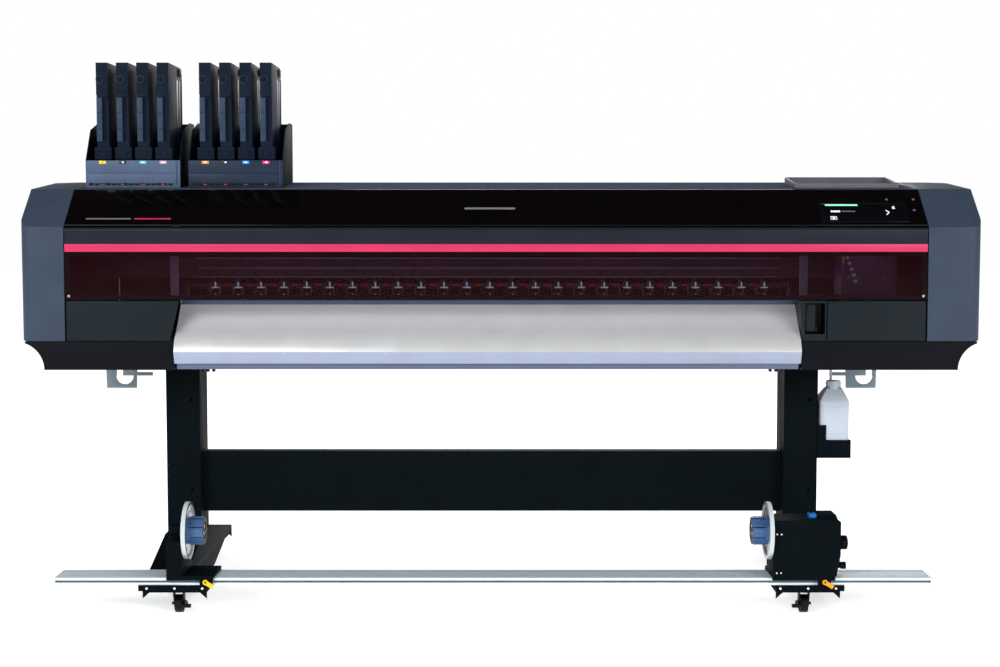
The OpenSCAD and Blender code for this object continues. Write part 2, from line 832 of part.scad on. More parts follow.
// One sprung arm with its tee-shaped pull tab
module pinch_arm(x) {
    half = pinch_len / 2 + 2;
    for (s = [-1, 1])
        run_x(x + s * half, x + s * (half + 3),
              [[y_nip - 6, z_pinch - 5], [y_nip - 8, z_lift + 3], [y_lift - 6, z_lift + 4],
               [y_lift - 6, z_lift - 5], [y_nip + 6, z_pinch - 5]]);
    block(x - half - 3, x + half + 3, y_nip - 12, y_nip - 8, z_lift - 2, z_lift + 3);
    block(x - 5, x + 5, y_nip - 12, y_nip - 9, z_lift + 1, z_lift + 20);
}

module pinch_arms() {
    half = pinch_len / 2 + 2;
    color([0.55, 0.57, 0.60])
        difference() {
            union() {
                rod_x(media_l + 2, media_r - 2, y_lift, z_lift, 8);
                for (i = [0 : pinch_n - 1])
                    pinch_arm(pinch_x0 + i * pinch_pitch);
            }
            rod_x(media_l - eps, media_r + eps, y_lift, z_lift, lift_r + run_fit);
            for (i = [0 : pinch_n - 1])
                rod_x(pinch_x0 + i * pinch_pitch - half - 4, pinch_x0 + i * pinch_pitch + half + 4,
                      y_nip, z_pinch, nip_axle_r + run_fit);
        }
}

module pinch_rollers() {
    color([0.16, 0.16, 0.17])
        for (i = [0 : pinch_n - 1])
            translate([pinch_x0 + i * pinch_pitch, 0, 0]) {
                rod_x(-pinch_len / 2, pinch_len / 2, y_nip, z_pinch, pinch_r);
                rod_x(-pinch_len / 2 - 5, pinch_len / 2 + 5, y_nip, z_pinch, nip_axle_r);
            }
}

module carriage_beam() {
    x0 = span_l - 3;
    x1 = span_r + 3;
    color([0.20, 0.21, 0.23])
        difference() {
            block(x0, x1, y_beam, y_beam + beam_d, z_beam, z_beam + beam_h);
            block(x0 - eps, x1 + eps, y_beam + 4, y_beam + beam_d - 4, z_beam + 4, z_beam + beam_h - 4);
        }
    // Linear guide on the front of the beam
    color([0.66, 0.68, 0.70])
        block(x0, x1, y_beam - 10, y_beam, z_guide, z_guide + 12);
}

module carriage() {
    x0 = carriage_x - carriage_w / 2;
    x1 = carriage_x + carriage_w / 2;
    y0 = y_carriage;
    y1 = y_carriage + carriage_d;
    z0 = z_media + head_gap + head_drop;
    yg = y_beam - slide_gap;
    color([0.20, 0.13, 0.20]) {
        difference() {
            block(x0, x1, y0, y1, z0, z0 + carriage_h);
            block(x0 + wall, x1 - wall, y0 + wall, y1 - wall, z0 + wall, z0 + carriage_h - wall);
        }
        // Arm and bearing block around the guide
        difference() {
            block(x0 + 10, x1 - 10, y1 - eps, yg, z_guide - 9, z_guide + 21);
            block(x0 + 9, x1 - 9, y_beam - 10 - slide_gap, yg + eps, z_guide - slide_gap,
                  z_guide + 12 + slide_gap);
        }
    }
    // Two print heads
    color([0.55, 0.56, 0.58])
        for (k = [-1, 1])
            block(carriage_x + k * 36 - 24, carriage_x + k * 36 + 24, y0 + 20, y1 - 20,
                  z_media + head_gap, z0);
}

module drive_belt() {
    r = 14;
    y0 = y_beam + beam_d + 6;
    zc = z_beam + beam_h / 2;
    xa = span_l + 60;
    xb = span_r - 60;
    color([0.08, 0.08, 0.09]) {
        difference() {
            union() {
                rod_y(y0, y0 + 12, xa, zc, r);
                rod_y(y0, y0 + 12, xb, zc, r);
                block(xa, xb, y0, y0 + 12, zc - r, zc + r);
            }
            rod_y(y0 - eps, y0 + 13, xa, zc, r - 2);
            rod_y(y0 - eps, y0 + 13, xb, zc, r - 2);
            block(xa, xb, y0 - eps, y0 + 13, zc - r + 2, zc + r - 2);
        }
    }
    // Pulleys on spindles in the beam
    color([0.62, 0.64, 0.66])
        for (x = [xa, xb]) {
            rod_y(y0 + 0.5, y0 + 11.5, x, zc, r - 2.3);
            rod_y(y_beam + beam_d, y0 + 0.5, x, zc, 4);
        }
}

module capping_station() {
    x0 = carriage_x - carriage_w / 2 + 4;
    x1 = carriage_x + carriage_w / 2 - 4;
    y0 = y_carriage + 4;
    y1 = y_carriage + carriage_d - 4;
    zt = z_media + head_gap - cap_gap;
    color([0.10, 0.11, 0.12])
        difference() {
            block(x0, x1, y0, y1, z_rails + 30, z_media - 14);
            block(x0 + 6, x1 - 6, y0 + 6, y1 - 6, z_rails + 36, z_media - 13);
        }
    color([0.10, 0.11, 0.12])
        for (k = [-1, 1])
            difference() {
                block(carriage_x + k * 36 - 26, carriage_x + k * 36 + 26, y0 + 14, y1 - 14, z_rails + 36, zt);
                block(carriage_x + k * 36 - 22, carriage_x + k * 36 + 22, y0 + 18, y1 - 18, zt - 8, zt + eps);
            }
    // Legs that stand the station on the front rail
    color([0.10, 0.11, 0.12])
        for (x = [x0, x1 - 12])
            block(x, x + 12, rail_front_y, y1, z_rails, z_rails + 30);
}

// ---- Ink supply ----

module ink_bay(x) {
    t = 3;
    y0 = bay_y;
    y1 = bay_y + bay_d;
    seat = 0.4;
    b0 = top_z(y0) + seat;
    b1 = top_z(y1) + seat;
    zs = z_pack - 18 + bay_side_h;
    floor_top = z_pack - seat;
    foot = [y_ridge, z_ridge + seat];
    side = [[y0, b0], [y0, z_bay_front], [y0 + 60, zs - 26], [y0 + 155, zs], [y1, zs], [y1, b1], foot];
    color([0.26, 0.33, 0.43]) {
        run_x(x, x + t, side);
        run_x(x + bay_w - t, x + bay_w, side);
        run_x(x + t, x + bay_w - t, [[y0, b0], [y0, z_bay_front], [y0 + t, z_bay_front], [y0 + t, floor_top],
                                     [y1 - 12, floor_top], [y1 - 12, zs], [y1, zs], [y1, b1], foot]);
        for (i = [1 : packs_per_bay - 1])
            block(x + pack_margin + (i - 0.5) * pack_pitch - 1.5,
                  x + pack_margin + (i - 0.5) * pack_pitch + 1.5,
                  y0 + t, y1 - 12, floor_top, z_bay_front - 4);
    }
}

module ink_pack(b, i) {
    x = bay_x[b] + pack_margin + i * pack_pitch;
    h = pack_w / 2;
    y0 = pack_y;
    yf = y0 + 6;
    y1 = y0 + pack_d;
    zt = z_pack + pack_h;
    zc = z_bay_front + 3;
    color([0.17, 0.20, 0.27]) {
        run_x(x - h, x + h, [[yf, z_pack], [yf, zt], [y1 - 14, zt], [y1, zt - 20], [y1, z_pack]]);
        block(x - h, x + h, y0, yf, zt - 93, zt);
        block(x - h + 2, x + h - 2, y0 + 2, yf, zt - 101, zt - 92);
        rod_y(y0 - 4, y0, x - 5, zt - 49, 12);
        difference() {
            block(x - collar_w / 2, x + collar_w / 2, y0 + 1, y1 - 1, zc, zc + 35);
            block(x - h + 1, x + h - 1, yf + 1, y1 - 2, zc - eps, zc + 36);
        }
    }
    color([0.50, 0.56, 0.63])
        block(x - h, x, y0 + 2, yf, zc + 52, zt - 100);
}

// ---- Tray ----

module tool_tray() {
    t = 4;
    y0 = tray_y;
    y1 = tray_y + tray_d;
    b0 = top_z(y0) + 0.4;
    b1 = top_z(y1) + 0.4;
    color([0.15, 0.17, 0.21])
        difference() {
            run_x(tray_x, tray_x + tray_w, [[y0, b0], [y0, b0 + 15], [y1, b1 + 22], [y1, b1]]);
            run_x(tray_x + t, tray_x + tray_w - t,
                  [[y0 + t, b0 + 3], [y0 + t, b0 + 40], [y1 - t, b1 + 40], [y1 - t, b1 + 3]]);
        }
}

// ---- Take-up ----

module takeup_rail() {
    y0 = rail_y;
    y1 = rail_y + rail_d;
    z1 = rail_z + rail_h;
    cap_t = 4;
    slot = 6;
    color([0.84, 0.86, 0.86])
        difference() {
            block(rail_l + cap_t, rail_r - cap_t, y0, y1, rail_z, z1);
            block(rail_l, rail_r, y0 - eps, y0 + 8,
                  rail_z + (rail_h - slot) / 2, rail_z + (rail_h + slot) / 2);
            for (k = [1 : 3])
                block(rail_l, rail_r, y0 + k * rail_d / 4 - slot / 2, y0 + k * rail_d / 4 + slot / 2,
                      z1 - 7, z1 + eps);
        }
    color([0.05, 0.05, 0.06])
        for (x = [rail_l, rail_r - cap_t])
            block(x, x + cap_t, y0, y1, rail_z, z1);
}

// Feet of a take-up unit that straddle the rail, with the stub that its clamp lever turns on
module unit_base(x0, x1, x_clamp) {
    yf = rail_y - slide_gap;
    yr = rail_y + rail_d + slide_gap;
    block(x0, x1, yf - skirt_front, yr + skirt_rear, unit_z, unit_z + 8);
    block(x0, x1, yf - skirt_front, yf, rail_z + rail_h - 4, unit_z + eps);
    block(x0, x1, yr, yr + skirt_rear, rail_z + 4, unit_z + eps);
    block(x_clamp - 17, x_clamp + 17, yf - skirt_front, yf, rail_z + 2, unit_z + eps);
    rod_y(yf - skirt_front - 7, yf - skirt_front + 1, x_clamp, clamp_z, 3);
}

module idler_unit() {
    x0 = idler_x;
    x1 = idler_x + idler_w;
    color([0.09, 0.12, 0.13])
        difference() {
            union() {
                unit_base(x0, x1 + 84, clamp_x[0]);
                block(x0, x1, rail_y - slide_gap - skirt_front, rail_y + rail_d + slide_gap + skirt_rear,
                      unit_z + 7, core_z - 20);
                block(x0 + 3, x1 - 2, core_y - 14, core_y + 14, core_z - 22, core_z);
                rod_x(x0 + 3, x1 - 2, core_y, core_z, 20);
            }
            rod_x(x0 + 9, x1 - 2 + eps, core_y, core_z, core_shaft_r + run_fit);
        }
}

// Flange disc with its chuck and its shaft; s is +1 when the chuck points to +X
module flange(x, s) {
    vane_n = 8;
    face = x + s * disc_t;
    color([0.90, 0.92, 0.91])
        difference() {
            rod_x(x, face, core_y, core_z, disc_r);
            rod_x(face - s * 5, face + s * eps, core_y, core_z, disc_r - 9);
        }
    color([0.33, 0.44, 0.62]) {
        difference() {
            rod_x(face - s * 6, face + s * chuck_len, core_y, core_z, chuck_r);
            for (i = [0 : vane_n - 1])
                translate([0, core_y, core_z]) rotate([i * 360 / vane_n + 22.5, 0, 0])
                    block(face + s * 4, face + s * (chuck_len + 2), chuck_r - 6, chuck_r + 2, -1.5, 1.5);
            rod_x(face + s * (chuck_len - 6), face + s * (chuck_len + eps), core_y, core_z, chuck_r - 12);
        }
        rod_x(x + s * eps, x - s * (idler_w - 14), core_y, core_z, core_shaft_r);
    }
}

module motor_unit() {
    x0 = motor_x;
    x1 = motor_x + motor_w;
    t = 2;
    yf = rail_y - 15;
    yr = yf + motor_d;
    z0 = unit_z + 7;
    z1 = motor_z;
    ys = yf + 62;
    color([0.04, 0.06, 0.07])
        difference() {
            union() {
                unit_base(x0, x1 - 14, clamp_x[1]);
                run_y(yf, yr, [[x0, z0], [x0, z1], [x1 - 44, z1], [x1, z1 - 4],
                               [x1, z0 + 60], [x1 - 11, z0]]);
                run_y(yf + 40, yr, [[x1 - 60, z1 - eps], [x1 - 54, z1 + 9], [x1 - 6, z1 + 9], [x1, z1 - 6]]);
            }
            block(x0 + t, x1 - 16, yf + t, yr - t, z0 + 3, z1 - t - 12);
            rod_x(x0 - eps, x0 + t + eps, core_y, core_z, core_shaft_r + run_fit);
            block(switch_x - 12, switch_x + 12, ys - 18, ys + 18, z1 - t - 13, z1 + eps);
        }
    // Bearing block and gear motor inside the casing
    color([0.35, 0.36, 0.38]) {
        difference() {
            block(x0 + t, x0 + 38, core_y - 22, core_y + 22, z0 + 3, core_z + 12);
            rod_x(x0 + t - eps, x0 + 40, core_y, core_z, core_shaft_r + run_fit);
        }
        rod_x(x0 + 48, x0 + 120, core_y + 6, z0 + 3 + 32, 30);
        block(x0 + 48, x0 + 120, core_y - 10, core_y + 22, z0 + 3, z0 + 12);
    }
    // Tension knob on its spindle, and two power connectors
    color([0.05, 0.05, 0.05]) {
        rod_x(x1 - eps, x1 + 9, yf + 50, z0 + 86, 6);
        rod_x(x1 + 8, x1 + 26, yf + 50, z0 + 86, 18);
        rod_x(x1 - 8, x1 + 22, yf + 46, z0 + 22, 8);
        rod_x(x1 - 8, x1 + 10, yf + 68, z0 + 24, 9);
    }
}

module motor_flange() {
    flange(motor_x, -1);
}

module takeup_switch() {
    yc = rail_y + 47;
    color([0.09, 0.47, 0.85])
        union() {
            rod_x(switch_x - 10, switch_x + 10, yc, motor_z - 2, 9);
            block(switch_x - 10, switch_x + 10, yc - 15, yc + 15, motor_z - 2, motor_z + 9);
        }
}

// Clamp lever on the front of the rail, turning on a stub of its unit
module clamp_lever(xc) {
    yf = rail_y - slide_gap - skirt_front;
    color([0.96, 0.78, 0.10])
        difference() {
            union() {
                rod_y(yf - 8, yf - 1, xc, clamp_z, 7);
                translate([xc, 0, clamp_z]) rotate([0, 32, 0])
                    block(0, 26, yf - 8, yf - 2, -5.5, 5.5);
            }
            rod_y(yf - 9, yf, xc, clamp_z, 3 + run_fit);
        }
}

// ---- Waste bottle and brackets ----

module waste_bottle() {
    x0 = leg_x[1] + leg_w / 2 + 6;
    x1 = x0 + 90;
    xc = (x0 + x1) / 2 + 4;
    y0 = -62;
    y1 = 28;
    yc = (y0 + y1) / 2;
    z0 = bottle_z;
    zs = z0 + 113;
    zn = z0 + 152;
    r = 12;
    color([0.84, 0.87, 0.91, 0.75]) {
        intersection() {
            run_y(y0, y1, [[x0, z0], [x0, zs], [xc - 23, zn], [xc + 23, zn], [x1, zs], [x1, z0]]);
            run_x(x0, x1, [[y0, z0], [y0, zs], [yc - 22, zn], [yc + 22, zn], [y1, zs], [y1, z0]]);
            union() {
                block(x0 + r, x1 - r, y0, y1, z0, zn);
                block(x0, x1, y0 + r, y1 - r, z0, zn);
                for (x = [x0 + r, x1 - r]) for (y = [y0 + r, y1 - r]) rod_z(z0, zn, x, y, r);
            }
        }
    }
    color([0.72, 0.76, 0.80]) rod_z(zn, zn + 22, xc, yc, 21);
    color([0.80, 0.83, 0.86, 0.8]) rod_z(zn + 22, under_h, xc - 8, yc, 4);
}

// Rear roll-holder hook: a plate with a round seat that opens upward on its outer side
module media_hook(x, s) {
    y0 = y_rear - hook_back;
    t = 5;
    w = 51;
    z0 = under_h - hook_h;
    zc = z0 + 40;
    xc = x + 10;
    color([0.45, 0.51, 0.55]) {
        difference() {
            run_y(y0, y0 + t, [[x - w + 3, z0], [x - w, under_h], [x + w, under_h], [x + w - 3, z0]]);
            intersection() {
                rod_y(y0 - eps, y0 + t + eps, xc, zc, hook_r);
                block(xc - hook_r - eps, xc + hook_r + eps, y0 - 2 * eps, y0 + t + 2 * eps,
                      zc - hook_r - eps, zc);
            }
            block(xc + s * (hook_r - 2), xc + s * 6, y0 - eps, y0 + t + eps, zc - 8, under_h - 20);
        }
        block(x - s * (w - 6), x - s * (w + 49), y0, y0 + t, zc, zc + 11);
        block(x - w, x + w, y0 + t, y0 + t + 34, under_h - 4, under_h);
    }
}

module bottle_bracket() {
    x0 = leg_x[1] + leg_w / 2;
    y0 = -66;
    y1 = 32;
    color([0.05, 0.07, 0.07]) {
        block(x0, x0 + 3, y0, y1, bottle_z - 54, bottle_z + 115);
        block(x0, x0 + 100, y0, y1, bottle_z - 4, bottle_z - slide_gap);
        block(x0, x0 + 100, y0, y0 + 3, bottle_z - 54, bottle_z - slide_gap);
        block(x0, x0 + 26, y0, y0 + 3, bottle_z - 1, bottle_z + 45);
    }
}

module media_hooks() {
    media_hook(stand_c - body_w / 2 + hook_in[0], -1);
    media_hook(stand_c + body_w / 2 - hook_in[1], 1);
    bottle_bracket();
}

// ---- Assembly ----

leg(leg_x[0]);  // leg_left
leg(leg_x[1]);  // leg_right
cross_beam();
foot(0);  // foot_left
foot(1);  // foot_right
for (c = [0 : 3]) {
    caster_fork(c % 2, c < 2 ? -1 : 1);
    caster_wheel(c % 2, c < 2 ? -1 : 1);
}
brake_pedal(0);  // brake_pedal_left
brake_pedal(1);  // brake_pedal_right
chassis();
side_cover(x_left, span_l);  // side_cover_left
side_cover(x_right, span_r);  // side_cover_right
lower_cover(x_left, media_l - 4, leg_x[0], span_l + gap + door_t / 2);  // lower_cover_left
lower_cover(x_right, media_r + 4, leg_x[1], span_r - gap - door_t / 2);  // lower_cover_right
top_cover();
rear_cover();
top_panel();
cover_frame();
cover_stripe();
cover_window();
door(span_l + gap, span_l + gap + door_l_w, span_l + gap + door_l_w + door_lean);  // door_left
door(span_r - gap, span_r - gap - door_r_w, span_r - gap - door_r_w);  // door_right
media_lever();
apron();
platen();
platen_ribs();
grit_roller();
pinch_arms();
pinch_rollers();
carriage_beam();
carriage();
drive_belt();
capping_station();
ink_bay(bay_x[0]);  // ink_bay_left
ink_bay(bay_x[1]);  // ink_bay_right
for (b = [0 : 1])
    for (i = [0 : 3])
        ink_pack(b, i);
touch_screen();
tool_tray();
takeup_rail();
idler_unit();
flange(idler_x + idler_w, 1);  // idler_flange
motor_unit();
motor_flange();
clamp_lever(clamp_x[0]);  // clamp_lever_left
clamp_lever(clamp_x[1]);  // clamp_lever_right
takeup_switch();
waste_bottle();
media_hooks();
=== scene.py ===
"""Looks of the wide-format roll printer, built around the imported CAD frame.

Lengths are metres in the row frame: +X is to the user's right, -Y faces the user and +Z is up.
Most places come from the frame's own boxes, and every piece rides on a CAD body.
"""

import json
import math

import bmesh
import bpy
from mathutils import Matrix, Vector


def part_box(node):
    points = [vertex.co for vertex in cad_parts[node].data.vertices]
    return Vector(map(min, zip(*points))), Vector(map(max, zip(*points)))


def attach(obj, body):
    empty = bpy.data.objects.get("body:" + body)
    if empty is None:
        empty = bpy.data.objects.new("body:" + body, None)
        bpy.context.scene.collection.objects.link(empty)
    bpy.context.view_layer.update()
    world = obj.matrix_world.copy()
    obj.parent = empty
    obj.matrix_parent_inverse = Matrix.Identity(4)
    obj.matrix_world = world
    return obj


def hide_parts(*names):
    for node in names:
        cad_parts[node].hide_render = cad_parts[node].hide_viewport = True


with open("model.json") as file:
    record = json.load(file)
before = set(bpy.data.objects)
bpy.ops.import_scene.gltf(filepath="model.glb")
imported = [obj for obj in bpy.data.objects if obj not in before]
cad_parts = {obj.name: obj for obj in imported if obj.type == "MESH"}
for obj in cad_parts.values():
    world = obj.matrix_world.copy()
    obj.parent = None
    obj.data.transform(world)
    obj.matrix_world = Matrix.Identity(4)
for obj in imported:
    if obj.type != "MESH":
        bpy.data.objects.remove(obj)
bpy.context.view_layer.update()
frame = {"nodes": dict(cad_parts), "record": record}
NODES = frame["nodes"]
MM = 0.001
BODY_OF = {node: body for body, nodes in frame["record"]["behaviour"]["bodies"].items() for node in nodes}
PACKS = [f"ink_pack_{i}" for i in range(1, 9)]
CORNERS = ["front_left", "front_right", "rear_left", "rear_right"]


# ---- Camera ----


def make_camera():
    camera = bpy.data.cameras.new("camera")
    camera.lens = 57.6
    camera.sensor_width = 36.0
    holder = bpy.data.objects.new("camera", camera)
    holder.location = (-0.003, -4.810, 1.096)
    holder.rotation_euler = (math.radians(86.0), 0.0, 0.0)
    bpy.context.scene.collection.objects.link(holder)
    bpy.context.scene.camera = holder


make_camera()
bpy.context.scene.view_settings.view_transform = "Standard"


# ---- Materials ----


def linear(code, scale=1.0):
    """Linear RGB of an sRGB hex code."""
    values = [int(code[i : i + 2], 16) / 255 for i in (0, 2, 4)]
    return [scale * (v / 12.92 if v <= 0.04045 else ((v + 0.055) / 1.055) ** 2.4) for v in values]


def surface(
    name,
    colour,
    rough=0.5,
    metal=0.0,
    mottle=0.08,
    mottle_size=0.08,
    grain=0.05,
    grain_size=0.0015,
    stretch=(1.0, 1.0, 1.0),
    coat=0.0,
    alpha=1.0,
    transmission=0.0,
    glow=0.0,
    specular=0.5,
    ior=1.45,
):
    """A procedural material: patchy colour and gloss, and a fine grain in the bump."""
    material = bpy.data.materials.new(name)
    material.use_nodes = True
    tree = material.node_tree
    tree.nodes.clear()
    new, link = tree.nodes.new, tree.links.new
    out = new("ShaderNodeOutputMaterial")
    shader = new("ShaderNodeBsdfPrincipled")
    link(shader.outputs["BSDF"], out.inputs["Surface"])
    place = new("ShaderNodeTexCoord")
    mapping = new("ShaderNodeMapping")
    mapping.inputs["Scale"].default_value = stretch
    link(place.outputs["Object"], mapping.inputs["Vector"])

    patches = new("ShaderNodeTexNoise")
    patches.inputs["Scale"].default_value = 1 / mottle_size
    patches.inputs["Detail"].default_value = 4.0
    link(mapping.outputs["Vector"], patches.inputs["Vector"])
    ramp = new("ShaderNodeValToRGB")
    base = linear(colour)
    ramp.color_ramp.elements[0].position = 0.3
    ramp.color_ramp.elements[1].position = 0.7
    ramp.color_ramp.elements[0].color = [v * (1 - mottle) for v in base] + [1]
    ramp.color_ramp.elements[1].color = [min(1.0, v * (1 + mottle)) for v in base] + [1]
    link(patches.outputs["Fac"], ramp.inputs["Fac"])
    link(ramp.outputs["Color"], shader.inputs["Base Color"])

    gloss = new("ShaderNodeMapRange")
    gloss.inputs["To Min"].default_value = max(0.02, rough - 0.06)
    gloss.inputs["To Max"].default_value = min(1.0, rough + 0.06)
    link(patches.outputs["Fac"], gloss.inputs["Value"])
    link(gloss.outputs["Result"], shader.inputs["Roughness"])

    fine = new("ShaderNodeTexNoise")
    fine.inputs["Scale"].default_value = 1 / grain_size
    fine.inputs["Detail"].default_value = 2.0
    link(mapping.outputs["Vector"], fine.inputs["Vector"])
    bump = new("ShaderNodeBump")
    bump.inputs["Strength"].default_value = grain
    bump.inputs["Distance"].default_value = 0.0004
    link(fine.outputs["Fac"], bump.inputs["Height"])
    link(bump.outputs["Normal"], shader.inputs["Normal"])

    shader.inputs["Metallic"].default_value = metal
    shader.inputs["IOR"].default_value = ior
    shader.inputs["Specular IOR Level"].default_value = specular
    shader.inputs["Coat Weight"].default_value = coat
    shader.inputs["Coat Roughness"].default_value = 0.05
    shader.inputs["Alpha"].default_value = alpha
    shader.inputs["Transmission Weight"].default_value = transmission
    if glow:
        shader.inputs["Emission Color"].default_value = base + [1]
        shader.inputs["Emission Strength"].default_value = glow
    return material


MAT = {
    "cover": surface("cover_dark_blue", "35404f", rough=0.42, grain=0.25, grain_size=0.0009, specular=0.14),
    "top": surface("cover_top_grey", "4d5462", rough=0.6, grain=0.25, grain_size=0.0009, specular=0.0),
    "under": surface("cover_under", "090b11", rough=0.55, grain=0.25, grain_size=0.0009, specular=0.1),
    "band": surface("cover_band", "191d26", rough=0.38, grain=0.12, grain_size=0.0009, specular=0.12),
    "gloss": surface("panel_gloss", "060303", rough=0.09, mottle=0.2, grain=0.004, grain_size=0.02,
                     specular=0.35),
    "stripe": surface("stripe_red", "c02c58", rough=0.30, mottle=0.04, grain=0.03, specular=0.2),
    "window": surface("window_tint", "1c0206", rough=0.07, mottle=0.12, mottle_size=0.4, grain=0.003,
                      grain_size=0.03, alpha=0.5, specular=0.12),
    "door": surface("door_charcoal", "151c20", rough=0.5, grain=0.3, grain_size=0.0009, specular=0.12),
    "tray": surface("tray_dark", "5c5a62", rough=0.5, grain=0.3, grain_size=0.0009, specular=0.15),
    "apron": surface("apron_silver", "d2d2d0", rough=0.34, metal=0.35, mottle=0.03, grain=0.05, specular=0.3),
    "lip": surface("apron_lip", "5a6076", rough=0.4, metal=0.3, mottle=0.04, grain=0.05, specular=0.3),
    "platen": surface("platen_anodised", "4b586c", rough=0.4, metal=0.6, stretch=(0.02, 1, 1), grain=0.1),
    "steel": surface("steel_bright", "b4b8bc", rough=0.3, metal=0.95, stretch=(0.05, 1, 1), grain=0.1),
    "arm": surface("arm_grey", "4a3f4c", rough=0.4, metal=0.2, mottle=0.1, grain=0.1, specular=0.2),
    "rubber": surface("rubber_black", "15161a", rough=0.7, grain=0.4, grain_size=0.001),
    "beam": surface("beam_dark", "4a4350", rough=0.4, metal=0.6, stretch=(0.02, 1, 1), specular=0.3),
    "carriage": surface("carriage_purple", "5c3c66", rough=0.35, grain=0.1, specular=0.4),
    "chassis": surface("chassis_steel", "2c2f36", rough=0.5, metal=0.4, grain=0.2),
    "belt": surface("belt_black", "141414", rough=0.8, grain=0.5),
    "stand": surface("stand_black", "080f12", rough=0.6, grain=0.35, grain_size=0.0012, mottle=0.12,
                     specular=0.03),
    "bay_wall": surface("bay_black", "10151e", rough=0.6, grain=0.2, specular=0.03),
    "bay_front": surface("bay_front", "4a5870", rough=0.42, grain=0.25, grain_size=0.0009, mottle=0.12,
                         specular=0.15),
    "pack": surface("pack_dark_blue", "151d2a", rough=0.6, grain=0.3, grain_size=0.0012, mottle=0.15,
                    specular=0.03),
    "pack_label": surface("pack_label", "26364a", rough=0.45, mottle=0.15, mottle_size=0.02, grain=0.2,
                          specular=0.2),
    "screen": surface("screen_glass", "040407", rough=0.06, mottle=0.1, grain=0.002, coat=0.3),
    "rail": surface("rail_anodised", "e6eef2", rough=0.4, metal=0.1, stretch=(0.02, 1, 1), mottle=0.04),
    "flange": surface("flange_white", "c3c8c8", rough=0.45, mottle=0.04, grain=0.15, specular=0.2),
    "chuck": surface("chuck_blue", "3f608f", rough=0.26, mottle=0.08, grain=0.08),
    "chuck_end": surface("chuck_end", "0d1016", rough=0.5, grain=0.2),
    "yellow": surface("lever_yellow", "f2c414", rough=0.35, mottle=0.05, grain=0.1),
    "orange": surface("lever_orange", "f59a12", rough=0.35, mottle=0.05, grain=0.1),
    "blue": surface("switch_blue", "1878d8", rough=0.3, mottle=0.05, grain=0.05),
    "bottle": surface("bottle_clear", "c2ccd6", rough=0.35, mottle=0.04, grain=0.08, alpha=0.88,
                      specular=0.3),
    "hook": surface("hook_grey", "74828c", rough=0.45, metal=0.3, grain=0.2),
    "caster": surface("caster_black", "0a0b0d", rough=0.5, grain=0.3, specular=0.2),
    "black": surface("detail_black", "040506", rough=0.5, grain=0.2, specular=0.2),
    "white": surface("detail_white", "eceff2", rough=0.4, mottle=0.03),
    "red": surface("detail_red", "b3202e", rough=0.45, mottle=0.05),
    "badge": surface("badge_silver", "b9bcc2", rough=0.3, metal=0.7, mottle=0.03),
    "green_glow": surface("screen_green", "7fd9b0", rough=0.3, glow=0.9),
    "white_glow": surface("screen_white", "e8ecf0", rough=0.3, glow=0.8),
    "grey_glow": surface("screen_grey", "6c727c", rough=0.3, glow=0.3),
    "bay_front_dark": surface("bay_front_dark", "202b3d", rough=0.42, grain=0.25, grain_size=0.0009,
                              mottle=0.12, specular=0.15),
    # Lighter blue, used for the packs' side strips, which are painted reflection, and for the fascia's edge
    # strip.
    "pack_side": surface("pack_side_strip", "3a4a68", rough=0.4, mottle=0.1, grain=0.15, specular=0.2),
    # The apron's down-facing lower facet is its silver made darker and bluer: painted shade.
    "apron_low": surface("apron_low_facet_painted_shade", "9aa4b8", rough=0.32, metal=0.35, mottle=0.03, grain=0.05,
                         specular=0.3),
    # The rail's groove faces are its anodised colour made darker: painted shade.
    "rail_groove_shaded": surface("rail_groove_shaded", "6d8894", rough=0.45, metal=0.3, stretch=(0.02, 1, 1)),
    # The chuck's blue made darker in its grooves: painted shade.
    "chuck_dark": surface("chuck_slot_painted_shade", "16223a", rough=0.45, grain=0.1),
    "bottle_cap": surface("bottle_cap", "c2ccd6", rough=0.4, mottle=0.05, grain=0.1),
    # Light violet with a faint glow for thin lines on the beam and platen: painted highlight and painted
    # glow.
    "line_violet": surface("line_violet", "8a7aa0", rough=0.3, metal=0.4, mottle=0.1, glow=0.04),
    # Lighter violet for the strip across the beam's face: painted highlight.
    "beam_face": surface("beam_face", "6a5578", rough=0.35, metal=0.3, stretch=(0.02, 1, 1), specular=0.3),
    # A lighter violet for the chassis posts behind the window, brightened as painted light.
    "post": surface("post_violet", "8a7c9c", rough=0.4, mottle=0.08, grain=0.1, specular=0.3),
    "pack_dark": surface("pack_dark", "0b0f17", rough=0.5, grain=0.2, grain_size=0.0012, specular=0.1),
    # White of the pinch tabs, with a painted glow so they read bright behind the window.
    "tab_white": surface("tab_white", "cfd6ec", rough=0.4, mottle=0.05, glow=0.55),
    # Red of the marks between the pinch arms; the red is the marks' own, the glow is painted light.
    "red_inside": surface("red_inside", "c81c24", rough=0.4, mottle=0.1, glow=0.35),
    "plate_beige": surface("plate_beige", "b8ad9c", rough=0.45, mottle=0.05),
}
INKS = {"ink_yellow": "e8d418", "ink_black": "101114", "ink_cyan": "58b8e8", "ink_magenta": "c8a0b8",
        "ink_orange": "f08a1c", "ink_blue": "1f8fd8", "ink_pink": "f0286c"}
for ink, code in INKS.items():
    MAT[ink] = surface(ink, code, rough=0.4, mottle=0.04, mottle_size=0.01)

